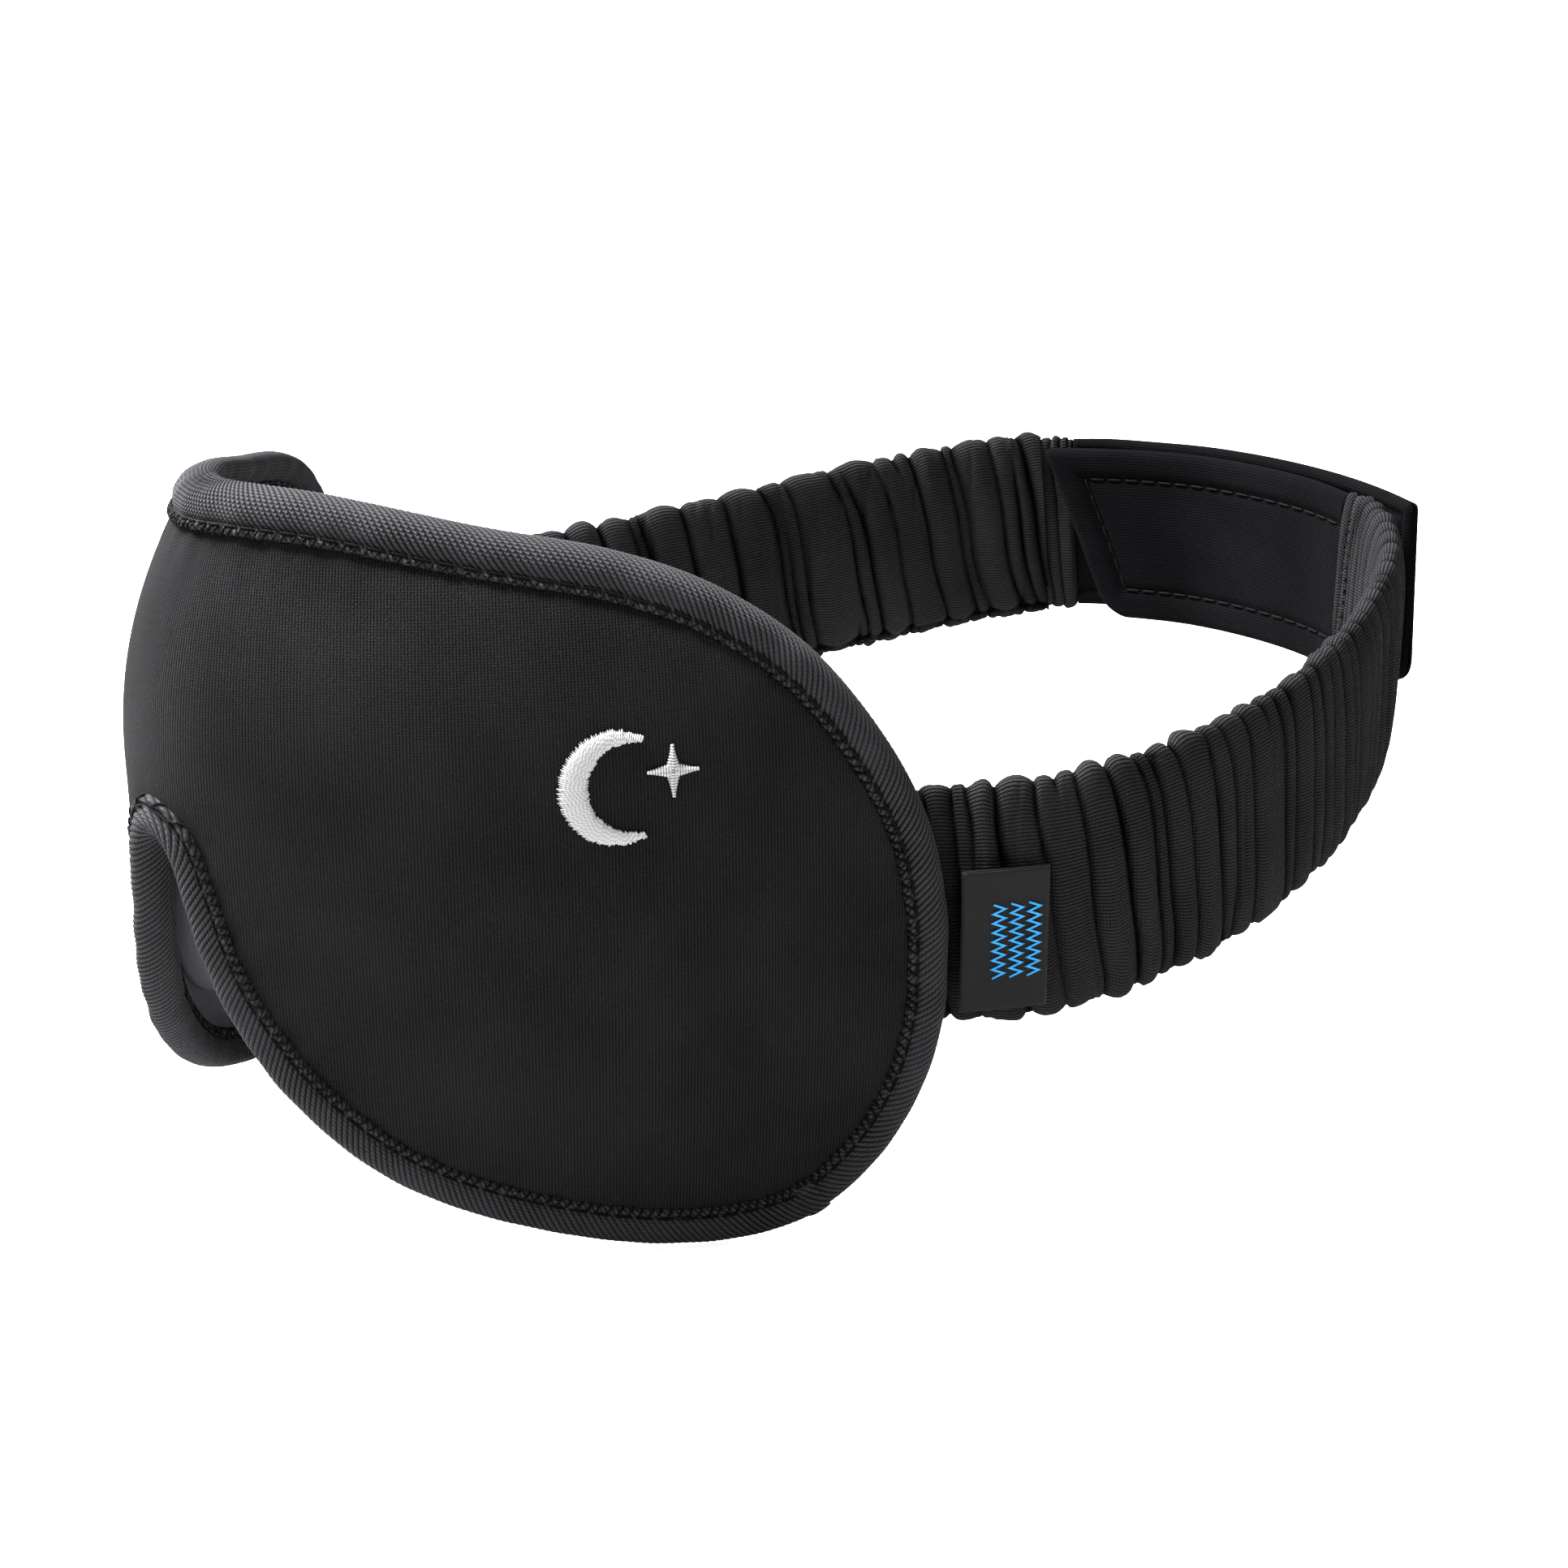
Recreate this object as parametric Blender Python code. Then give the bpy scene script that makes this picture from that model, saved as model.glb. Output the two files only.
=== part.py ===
"""Contoured sleep mask with a gathered elastic strap and a hook-and-loop back closure.

Frame: +Z up, -Y where the wearer looks, +X the wearer's left. The origin is the middle of the head,
level with the strap's roots at the temples. Lengths below are millimetres; MM makes them metres.
"""

import bmesh
import bpy
import numpy as np

MM = 0.001

# The mask: its cut edge lies on a wall that is bent round the face, (along, up) from the nose line.
TEMPLE_X = 67.0  # half the width between the temples
NOSE_Y = 75.7  # how far the nose line lies in front of the temples
NOSE_RADIUS = 18.0  # how tightly the wall bends over the nose
BROW_LINE = 18.0  # height above which the wall leans back to the forehead
BROW_CURL = 0.0075  # how fast it leans back there, per mm
CHEEK_CURL = 0.0003  # the same, below that line
LOWER_EDGE = [
    (0, 11.8), (1.8, 11.1), (3.2, 8.8), (4.9, 3.6), (7.2, -3.9), (10.8, -11.7),
    (18.6, -22.8), (30.5, -33.4),
    (45, -40.2), (62, -44.6), (76, -45.2), (87, -42.2), (96, -34), (101.5, -24), (103.9, -14),
    (104.1, -7),
]  # fmt: skip
UPPER_EDGE = [
    (0, 56), (14, 55.8), (27, 54.6), (46, 51), (62, 48), (75, 43.3), (86.4, 35.5), (95.5, 24),
    (101.4, 12), (103.9, 0), (104.1, -7),
]  # fmt: skip

# Layers of the mask, measured outward from the rim's front face.
GAP = 0.3
COVER_THICK = 0.6
RIM_FOAM = 0.8
LINING_THICK = 0.6
FOAM_EXTRA = 2.0  # how much thicker the foam is away from its pressed rim
DOME_HEIGHT = 7.5  # how far the front stands out over the eyes
DOME_START = 6.0
DOME_RUN = 45.0
LAYER_INSET = 1.7
COLUMNS = [
    0, 0.012, 0.026, 0.045, 0.08, 0.125, 0.175, 0.235, 0.3, 0.37, 0.44, 0.51, 0.58, 0.65, 0.72, 0.785,
    0.845, 0.9, 0.945, 0.975,
]  # fmt: skip

# Binding tape, folded over the rim.
TAPE_WIDTH = 5.2
TAPE_WALL = 0.6
TAPE_GAP = 0.5
TAPE_FOLD = 1.0
SEAM_INSET = 4.3
THREAD = 0.6

# Eye cushions on the lining.
CUSHION_CENTRE = (54.0, 3.0)
CUSHION_HALF = (30.5, 24.5)  # to the middle of the ring, along and up
CUSHION_RIB = 7.5  # half the ring's width
CUSHION_DEPTH = 7.0
CUSHION_GAP = 1.2

# Strap.
STRAP_HALF = 16.8
SLEEVE_HALF_THICK = 3.0
ROOT_HALF_THICK = 1.8
SLEEVE_WALL = 0.7
STRAP_RISE = 0.11  # how fast the strap climbs towards the back of the head
STRAP_LEVEL = -2.0  # its middle's height beside the temples
ELASTIC_HALF = 12.0
ELASTIC_THICK = 1.0
HEM_LENGTH = 5.0
TAB_HALF = 15.2
TAB_THICK = 2.4
PATCH_THICK = 0.8
PATCH_HALF = 11.0
ROOT_ALONG = 99.0  # where the strap is sewn on, behind the rim
ROOT_DEPTH = 7.0
LEFT_ROUTE = [
    (67.6, 10), (72, 17), (75, 25), (76.6, 35), (77, 46), (76, 57), (73.6, 68.5), (69, 83),
    (62.8, 97), (55.5, 110), (47.5, 120), (39.5, 127), (32, 131), (22, 134), (10, 135),
    (-2, 134), (-12, 131), (-20, 127.3), (-28, 122.6),
]  # fmt: skip
RIGHT_ROUTE = [
    (-65.5, 11), (-67, 20), (-66, 32), (-62.5, 44), (-58, 55), (-54.5, 66), (-51.5, 78),
    (-48, 90), (-44, 101), (-40, 111), (-35.5, 120), (-30, 127), (-22.5, 132.6), (-13.5, 136),
    (-2.7, 138.9), (10, 139.9), (22.5, 139), (34, 136.4), (47, 131.6),
]  # fmt: skip
LEFT_SLEEVE_END_X = 37.0
RIGHT_SLEEVE_END_X = -30.5
INNER_TAB_END_X = -27.0
OUTER_TAB_END_X = 46.0

# Label sewn under the binding, and what is embroidered on the cover.
LABEL_ROUTE = [(68.2, 1.8), (71.4, 7.5), (74.0, 12.2)]
LABEL_HALF = 9.8
LABEL_THICK = 1.0
LABEL_CENTRE_Z = -4.4
MOON_CENTRE = (60.7, 21.3)
MOON_RADIUS = 7.1
STAR_CENTRE = (67.9, 23.1)
STAR_RADIUS = 3.0

BLACK = (0.012, 0.012, 0.014)


def clear_scene():
    for obj in list(bpy.data.objects):
        bpy.data.objects.remove(obj)


def principled(name, colour, roughness):
    material = bpy.data.materials.new(name)
    material.use_nodes = True
    shader = material.node_tree.nodes["Principled BSDF"]
    shader.inputs["Base Color"].default_value = (*colour, 1)
    shader.inputs["Roughness"].default_value = roughness
    shader.inputs["Metallic"].default_value = 0
    return material


def make_object(name, points, faces, material):
    """One closed solid from points in millimetres."""
    mesh = bpy.data.meshes.new(name)
    mesh.from_pydata([tuple(MM * float(c) for c in p) for p in points], [], faces)
    work = bmesh.new()
    work.from_mesh(mesh)
    bmesh.ops.recalc_face_normals(work, faces=work.faces)
    work.to_mesh(mesh)
    work.free()
    mesh.shade_smooth()
    mesh.set_sharp_from_angle(angle=0.9)
    mesh.materials.append(material)
    obj = bpy.data.objects.new(name, mesh)
    bpy.context.scene.collection.objects.link(obj)
    return obj


def slab(name, front, back, material):
    """A closed sheet between two grids of points, front[i][j] and back[i][j]."""
    columns, rows = len(front), len(front[0])
    points = [p for column in front for p in column] + [p for column in back for p in column]
    half = columns * rows
    faces = []
    for i in range(columns - 1):
        for j in range(rows - 1):
            a, b = i * rows + j, (i + 1) * rows + j
            faces.append((a, b, b + 1, a + 1))
            faces.append((half + a, half + a + 1, half + b + 1, half + b))
    rim = [i * rows for i in range(columns)]
    rim += [(columns - 1) * rows + j for j in range(1, rows)]
    rim += [i * rows + rows - 1 for i in range(columns - 2, -1, -1)]
    rim += [j for j in range(rows - 2, 0, -1)]
    for a, b in zip(rim, rim[1:] + rim[:1]):
        faces.append((a, half + a, half + b, b))
    return make_object(name, points, faces, material)


def tube(name, rings, material, closed=False):
    """A solid swept through rings of points; an open run gets an end cap at each end."""
    size = len(rings[0])
    points = [p for ring in rings for p in ring]
    faces = []
    for i in range(len(rings) if closed else len(rings) - 1):
        a, b = i * size, (i + 1) % len(rings) * size
        for j in range(size):
            k = (j + 1) % size
            faces.append((a + j, b + j, b + k, a + k))
    if not closed:
        faces.append(tuple(range(size - 1, -1, -1)))
        faces.append(tuple(len(points) - size + j for j in range(size)))
    return make_object(name, points, faces, material)


def hollow_tube(name, outer, inner, material):
    """A tube with a wall, open at both ends."""
    size, count = len(outer[0]), len(outer)
    points = [p for ring in outer for p in ring] + [p for ring in inner for p in ring]
    half = count * size
    faces = []
    for j in range(size):
        k = (j + 1) % size
        for i in range(count - 1):
            a, b = i * size, (i + 1) * size
            faces.append((a + j, b + j, b + k, a + k))
            faces.append((half + a + j, half + a + k, half + b + k, half + b + j))
        end = (count - 1) * size
        faces.append((j, k, half + k, half + j))
        faces.append((end + j, half + end + j, half + end + k, end + k))
    return make_object(name, points, faces, material)


def smooth_line(points, steps=16):
    """A Catmull-Rom curve through the points; one that starts on the nose line leaves it square."""
    p = np.array(points, float)
    before = p[1] * [-1, 1] if p[0, 0] == 0 else 2 * p[0] - p[1]
    p = np.vstack([before, p, 2 * p[-1] - p[-2]])
    t = np.linspace(0, 1, steps, endpoint=False)[:, None]
    parts = []
    for a, b, c, d in zip(p, p[1:], p[2:], p[3:]):
        bend = (2 * a - 5 * b + 4 * c - d) * t**2 + (3 * b - 3 * c + d - a) * t**3
        parts.append(0.5 * (2 * b + (c - a) * t + bend))
    return np.vstack(parts + [p[-2:-1]])


def evenly(line, fractions):
    """Points of a line at these fractions of its length."""
    length = np.concatenate([[0], np.cumsum(np.linalg.norm(np.diff(line, axis=0), axis=1))])
    at = np.asarray(fractions) * length[-1]
    return np.stack([np.interp(at, length, line[:, k]) for k in range(line.shape[1])], axis=1)


# ---- the mask's bent wall


def wall_curve():
    """The wall in plan as (distance along, x, y): a hyperbola, round at the nose, nearly straight
    towards the temples."""
    steep = NOSE_Y**2 / (TEMPLE_X**2 - 2 * NOSE_Y * NOSE_RADIUS)
    soft = NOSE_RADIUS * steep
    x = np.linspace(0, TEMPLE_X + 8, 600)
    y = np.sqrt(soft**2 + steep * x**2) - soft - NOSE_Y
    along = np.concatenate([[0], np.cumsum(np.hypot(np.diff(x), np.diff(y)))])
    return along, x, y


WALL = wall_curve()


def on_wall(along, up, out):
    """The point this far along and up the wall and this far outward of it."""
    distance, xs, ys = WALL
    side = np.where(np.asarray(along) < 0, -1.0, 1.0)
    reach = np.abs(along)
    x = np.interp(reach, distance, xs)
    y = np.interp(reach, distance, ys)
    step = 0.5
    dx = np.interp(reach + step, distance, xs) - np.interp(np.maximum(reach - step, 0), distance, xs)
    dy = np.interp(reach + step, distance, ys) - np.interp(np.maximum(reach - step, 0), distance, ys)
    near_nose = np.clip(reach / step, 0, 1)
    dy = dy * near_nose
    size = np.hypot(dx, dy)
    lean = BROW_CURL * np.maximum(up - BROW_LINE, 0) ** 2
    lean = lean + CHEEK_CURL * np.maximum(BROW_LINE - up, 0) ** 2
    push = out - lean
    return np.stack([side * (x + push * dy / size), y - push * dx / size, up + 0 * x], axis=-1)


LOWER_LINE = smooth_line(LOWER_EDGE)
UPPER_LINE = smooth_line(UPPER_EDGE)
RIGHT_OUTLINE = np.vstack([LOWER_LINE, UPPER_LINE[-2::-1]])
OUTLINE = np.vstack([RIGHT_OUTLINE, (RIGHT_OUTLINE * [-1, 1])[-2:0:-1]])


def edge_distance(along, up):
    """Distance from the cut edge, measured on the flat pattern."""
    points = np.stack([np.ravel(along), np.ravel(up)], axis=1)
    gaps = np.linalg.norm(points[:, None, :] - OUTLINE[None, :, :], axis=2)
    return gaps.min(axis=1).reshape(np.shape(along))


def dome(inside):
    """How far the front stands out, this far inside the cut edge."""
    return DOME_HEIGHT * np.sin(np.pi / 2 * np.clip((inside - DOME_START) / DOME_RUN, 0, 1))


def foam_extra(inside):
    return FOAM_EXTRA * np.clip((inside - DOME_START) / 8, 0, 1)


def inset_line(line, inset):
    """A line of the pattern's edge moved inward; the pattern lies to the left of the lower edge."""
    step = np.gradient(line, axis=0)
    step /= np.linalg.norm(step, axis=1)[:, None]
    return line + inset * np.stack([-step[:, 1], step[:, 0]], axis=1)


def mask_grid(inset, rows):
    """(along, up) of a grid over the pattern, from one temple to the other."""
    low = evenly(inset_line(LOWER_LINE, inset), COLUMNS)
    high = evenly(inset_line(UPPER_LINE[::-1], inset)[::-1], COLUMNS)
    low[0, 0] = high[0, 0] = 0
    low = np.vstack([(low * [-1, 1])[:0:-1], low])
    high = np.vstack([(high * [-1, 1])[:0:-1], high])
    share = (0.5 - 0.5 * np.cos(np.linspace(0, np.pi, rows + 1)))[None, :, None]
    grid = low[:, None, :] * (1 - share) + high[:, None, :] * share
    return grid[..., 0], grid[..., 1]


def mask_layer(name, front, back, material):
    """One layer of the mask between two functions of the distance inside the edge."""
    along, up = mask_grid(LAYER_INSET, 9)
    inside = edge_distance(along, up)
    return slab(name, on_wall(along, up, front(inside)), on_wall(along, up, back(inside)), material)


COVER_BACK = -COVER_THICK
FOAM_FRONT = COVER_BACK - GAP
FOAM_BACK = FOAM_FRONT - RIM_FOAM
LINING_FRONT = FOAM_BACK - GAP
LINING_BACK = LINING_FRONT - LINING_THICK


def raised_by(level, foam_share=0.0):
    """A surface this far out of the dome, less a share of the foam's extra thickness."""
    return lambda inside: dome(inside) - foam_share * foam_extra(inside) + level


def mask_layers(cover, foam, lining):
    mask_layer("mask_front_cover", dome, raised_by(COVER_BACK), cover)
    mask_layer("mask_foam_core", raised_by(FOAM_FRONT), raised_by(FOAM_BACK, 1.0), foam)
    mask_layer("mask_lining", raised_by(LINING_FRONT, 1.0), raised_by(LINING_BACK, 1.0), lining)


def edge_stations(skip):
    """Every so manyth point of the cut edge, with its direction inward."""
    places = OUTLINE[::skip]
    step = np.roll(places, -1, axis=0) - np.roll(places, 1, axis=0)
    step /= np.linalg.norm(step, axis=1)[:, None]
    return places, np.stack([-step[:, 1], step[:, 0]], axis=1)


def edge_sweep(name, profile, skip, material):
    """A closed sweep round the cut edge; the profile is (inward, outward of the rim)."""
    places, inward = edge_stations(skip)
    rings = []
    for place, step in zip(places, inward):
        flat = np.array([place + a * step for a, _ in profile])
        rings.append(on_wall(flat[:, 0], flat[:, 1], np.array([t for _, t in profile])))
    return tube(name, rings, material, closed=True)


TAPE_FRONT = TAPE_GAP + TAPE_WALL
TAPE_BACK = LINING_BACK - TAPE_GAP - TAPE_WALL


def binding(tape, thread):
    edge_sweep(
        "edge_binding",
        [
            (TAPE_WIDTH, TAPE_FRONT), (1.2, TAPE_FRONT), (0.25, TAPE_FRONT - 0.7), (0, -0.6), (0, -2.0),
            (0.25, TAPE_BACK + 0.7), (1.2, TAPE_BACK), (TAPE_WIDTH, TAPE_BACK),
            (TAPE_WIDTH, TAPE_BACK + TAPE_WALL), (TAPE_FOLD, TAPE_BACK + TAPE_WALL), (TAPE_FOLD, TAPE_GAP),
            (TAPE_WIDTH, TAPE_GAP),
        ],
        5,
        tape,
    )  # fmt: skip
    near, far = SEAM_INSET - THREAD / 2, SEAM_INSET + THREAD / 2
    front, back = TAPE_FRONT + GAP, TAPE_BACK - GAP - THREAD
    for name, low in (("binding_seam_front", front), ("binding_seam_back", back)):
        section = [(near, low), (near, low + THREAD), (far, low + THREAD), (far, low)]
        edge_sweep(name, section, 8, thread)


def binding_join(tape):
    """The tape's overlapped end, a short flap across the tape low on the wearer's left half."""
    centre, half, low = 90.5, 1.6, TAPE_FRONT + GAP
    lower = evenly(LOWER_LINE, np.linspace(0, 1, 200))
    k = int(np.argmin(np.abs(lower[:, 0] - centre) + (lower[:, 1] > -20) * 100))
    step = lower[k + 1] - lower[k - 1]
    step /= np.linalg.norm(step)
    inward = np.array([-step[1], step[0]])
    front, back = [], []
    for shift in np.linspace(-half, half, 3):
        flat = np.array([lower[k] + shift * step + a * inward for a in (0.9, 2.2, 3.6)])
        front.append(on_wall(flat[:, 0], flat[:, 1], np.full(3, low + 0.5)))
        back.append(on_wall(flat[:, 0], flat[:, 1], np.full(3, low)))
    slab("binding_join", front, back, tape)


def eye_cushions(pad):
    """A soft oval ring behind each eye opening, flat on the lining and round towards the face."""
    angles = np.linspace(0, 2 * np.pi, 36, endpoint=False)
    profile = [(-1, 0), (-0.92, 0.45), (-0.6, 0.85), (0, 1), (0.6, 0.85), (0.92, 0.45), (1, 0), (0, 0)]
    for name, side in (("left_eye_cushion", 1), ("right_eye_cushion", -1)):
        rings = []
        for angle in angles:
            ring = []
            for across, depth in profile:
                along = CUSHION_CENTRE[0] + (CUSHION_HALF[0] + across * CUSHION_RIB) * np.cos(angle)
                up = CUSHION_CENTRE[1] + (CUSHION_HALF[1] + across * CUSHION_RIB) * np.sin(angle)
                inside = edge_distance(np.array([along]), np.array([up]))[0]
                base = dome(inside) - foam_extra(inside) + LINING_BACK - CUSHION_GAP
                ring.append(on_wall(side * along, up, base - depth * CUSHION_DEPTH))
            rings.append(ring)
        tube(name, rings, pad, closed=True)


def embroidery(white):
    """A crescent moon and a small star standing on the front cover."""
    low, high = 0.4, 1.0

    def raised(along, up, out):
        inside = edge_distance(np.array([along]), np.array([up]))[0]
        return on_wall(along, up, dome(inside) + out)

    def around(centre, reach, turn):
        return centre[0] + reach * np.cos(turn), centre[1] + reach * np.sin(turn)

    grids = {low: [], high: []}
    for turn in np.radians(np.linspace(62, 298, 22)):
        share = np.sin((turn - np.radians(62)) / np.radians(236) * np.pi)
        for out in (low, high):
            reaches = (MOON_RADIUS, MOON_RADIUS - 0.35 - 3.4 * share)
            grids[out].append([raised(*around(MOON_CENTRE, reach, turn), out) for reach in reaches])
    slab("embroidered_crescent", grids[high], grids[low], white)

    rings = []
    for out in (low, high):
        ring = []
        for k in range(8):
            reach = STAR_RADIUS if k % 2 == 0 else 0.42 * STAR_RADIUS
            ring.append(raised(*around(STAR_CENTRE, reach, np.pi / 4 * k), out))
        rings.append(ring)
    tube("embroidered_star", rings, white)


# ---- the strap


class Route:
    """A strap's centre line and the directions across and out of it."""

    def __init__(self, plan_points, side, rise=STRAP_RISE, level=STRAP_LEVEL):
        flat = smooth_line(plan_points)
        self.line = np.column_stack([flat, level + rise * flat[:, 1]])
        steps = np.linalg.norm(np.diff(self.line, axis=0), axis=1)
        self.at = np.concatenate([[0], np.cumsum(steps)])
        self.length = self.at[-1]
        self.side = side

    def where(self, u):
        return np.array([np.interp(u, self.at, self.line[:, k]) for k in range(3)])

    def point(self, u, across=0.0, out=0.0):
        ahead = self.where(min(u + 1.5, self.length)) - self.where(max(u - 1.5, 0))
        ahead /= np.linalg.norm(ahead)
        normal = self.side * np.array([ahead[1], -ahead[0], 0])
        normal /= np.linalg.norm(normal)
        width = np.cross(normal, ahead)
        width *= np.sign(width[2])
        return self.where(u) + across * width + out * normal

    def at_x(self, x):
        """How far along the line first reaches this x behind the head."""
        behind = np.where(self.line[:, 1] > 100)[0]
        k = behind[int(np.argmin(np.abs(self.line[behind, 0] - x)))]
        return self.at[k]


def strap_route(points, side):
    start = on_wall(side * np.array([ROOT_ALONG, ROOT_ALONG + 5.5]), np.zeros(2), np.full(2, -ROOT_DEPTH))
    return Route([tuple(p[:2]) for p in start] + points, side)


def sleeve_half_thick(u, end):
    """Flat where it is sewn at the root, puffed along its length, a little flatter at the tab."""
    root = np.clip((u - 6) / 10, 0, 1)
    tip = np.clip((end - u) / 8, 0, 1)
    return ROOT_HALF_THICK + (SLEEVE_HALF_THICK - ROOT_HALF_THICK) * root - 0.5 * (1 - tip)


def oval(half_width, half_thick):
    """A flattened round section, as (across, out)."""
    turns = np.linspace(0, 2 * np.pi, 12, endpoint=False)
    power = 0.55
    cos, sin = np.cos(turns), np.sin(turns)
    across = half_width * np.sign(cos) * abs(cos) ** power
    out = half_thick * np.sign(sin) * abs(sin) ** power
    return list(zip(across, out))


def sleeve(name, route, end, material):
    outer, inner = [], []
    for u in np.linspace(0, end, 26):
        thick = sleeve_half_thick(u, end)
        outer.append([route.point(u, a, t) for a, t in oval(STRAP_HALF, thick)])
        inside = oval(STRAP_HALF - SLEEVE_WALL, thick - SLEEVE_WALL)
        inner.append([route.point(u, a, t) for a, t in inside])
    hollow_tube(name, outer, inner, material)


def bar(name, route, start, end, half_width, low, high, columns, material):
    """A flat strip along a route, between two distances out of it."""
    rings = []
    for u in np.linspace(start, end, columns + 1):
        corners = [(-half_width, low), (half_width, low), (half_width, high), (-half_width, high)]
        rings.append([route.point(u, a, t) for a, t in corners])
    return tube(name, rings, material)


def zigzag(name, route, centre, reach, half_width, out, turns, material):
    """One thread stitched back and forth across a route."""
    places = []
    for k in range(2 * turns + 1):
        across = -half_width + 2 * half_width * k / (2 * turns)
        places.append((centre + (reach if k % 2 else -reach), across))
    section = ((-0.5, 0), (0.5, 0), (0.5, 0.4), (-0.5, 0.4))
    rings = [[route.point(u + a, across, out + t) for a, t in section] for u, across in places]
    return tube(name, rings, material)


def tab_plate(name, route, start, end_low, end_high, half_width, low, high, corner, columns, material):
    """A tab with a slanted end; the corner at the end's lower side is round."""
    front, back = [], []
    rows = [-1, -0.93, -0.75, -0.4, 0, 0.4, 0.75, 0.93, 1]
    for k in range(columns + 1):
        share = k / columns
        fronts, backs = [], []
        for row in rows:
            end = end_low + (end_high - end_low) * (row + 1) / 2
            drop = corner * (1 - np.sqrt(max(0, 1 - max(0, 1 - (row + 1) * half_width / corner) ** 2)))
            trim = 0.6 * (1 - np.sqrt(max(0, 1 - max(0, (row - 0.93) / 0.07) ** 2)))
            u = start + (end - drop - trim - start) * share
            fronts.append(route.point(u, row * half_width, high))
            backs.append(route.point(u, row * half_width, low))
        front.append(fronts)
        back.append(backs)
    return slab(name, front, back, material)


def stitched_line(name, route, places, out, material):
    """A thread through (along, across) places on a tab, standing this far out of it."""
    line = evenly(np.array(places, float), np.linspace(0, 1, 36))
    rings = []
    for (u, across), (du, da) in zip(line, np.gradient(line, axis=0)):
        size = np.hypot(du, da)
        rings.append(
            [
                route.point(u - s * da / size, across + s * du / size, out + t)
                for s, t in ((-0.3, 0), (0.3, 0), (0.3, 0.4), (-0.3, 0.4))
            ]
        )
    return tube(name, rings, material)


def strap_half(side_name, route, sleeve_end, knit, elastic, thread):
    """The parts that both halves of the strap have: sleeve, elastic, root stitches, hem."""
    sleeve(side_name + "_sleeve", route, sleeve_end, knit)
    bar(
        side_name + "_elastic", route, 1.0, sleeve_end - 1.0, ELASTIC_HALF,
        -ELASTIC_THICK / 2, ELASTIC_THICK / 2, 26, elastic,
    )  # fmt: skip
    zigzag(side_name + "_root_stitching", route, 2.5, 1.2, 12, -ROOT_HALF_THICK - 0.8, 12, thread)
    hem_start = sleeve_end + GAP
    hem_end, hem_half = hem_start + HEM_LENGTH, STRAP_HALF - 0.6
    bar(side_name + "_sleeve_hem", route, hem_start, hem_end, hem_half, -1.7, 1.7, 2, knit)
    seam_side = -2.4 if side_name == "left" else 2.0
    zigzag(side_name + "_tuck_seam", route, hem_start + HEM_LENGTH / 2, 0.9, 12.5, seam_side, 12, thread)
    return hem_start + HEM_LENGTH + GAP


def left_strap(materials):
    """The half with the inner tab, which lies against the head."""
    route = strap_route(LEFT_ROUTE, 1)
    start = strap_half("left", route, route.at_x(LEFT_SLEEVE_END_X), *materials[:3])
    end = route.at_x(INNER_TAB_END_X)
    half = TAB_THICK / 2
    tab_plate("inner_tab", route, start, end - 11, end, TAB_HALF, -half, half, 4.5, 20, materials[3])
    stitched_line(
        "inner_tab_seam", route,
        [(start + 6, 9.5), (end - 8, 9.5), (end - 15.5, -9.5), (start + 6, -9.5)],
        -half - GAP - 0.4, materials[2],
    )  # fmt: skip
    low = half + GAP
    tab_plate(
        "hook_patch", route, start + 18, end - 13, end - 6, PATCH_HALF, low, low + PATCH_THICK, 3, 12,
        materials[4],
    )  # fmt: skip


def right_strap(materials):
    """The half with the outer tab, which closes over the inner one."""
    route = strap_route(RIGHT_ROUTE, -1)
    start = strap_half("right", route, route.at_x(RIGHT_SLEEVE_END_X), *materials[:3])
    end = route.at_x(OUTER_TAB_END_X)
    half = TAB_THICK / 2
    tab_plate("outer_tab", route, start, end, end - 3, TAB_HALF, -half, half, 4.5, 20, materials[3])
    stitched_line(
        "outer_tab_seam", route,
        [(start + 4, 12.2), (end - 5.5, 12.2), (end - 2.6, -9), (end - 6, -12.2), (start + 4, -12.2)],
        half + GAP, materials[2],
    )  # fmt: skip
    high = -half - GAP
    tab_plate(
        "loop_patch", route, start + 8, end - 24, end - 24, PATCH_HALF, high - PATCH_THICK, high, 3, 12,
        materials[5],
    )  # fmt: skip


def label(satin, blue):
    """A folded satin label standing out of the binding, with a woven chevron row on it."""
    route = Route(LABEL_ROUTE, 1, rise=0.0, level=LABEL_CENTRE_Z)
    half = LABEL_THICK / 2
    bar("side_label", route, 0, route.length, LABEL_HALF, -half, half, 6, satin)
    rings = []
    for k in range(11):
        centre = 8.0 + (1.6 if k % 2 else -1.6)
        section = ((-0.8, 0), (0.8, 0), (0.8, 0.25), (-0.8, 0.25))
        rings.append([route.point(centre + a, 1.1 * k - 5.5, half + GAP + t) for a, t in section])
    tube("label_motif", rings, blue)


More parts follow.
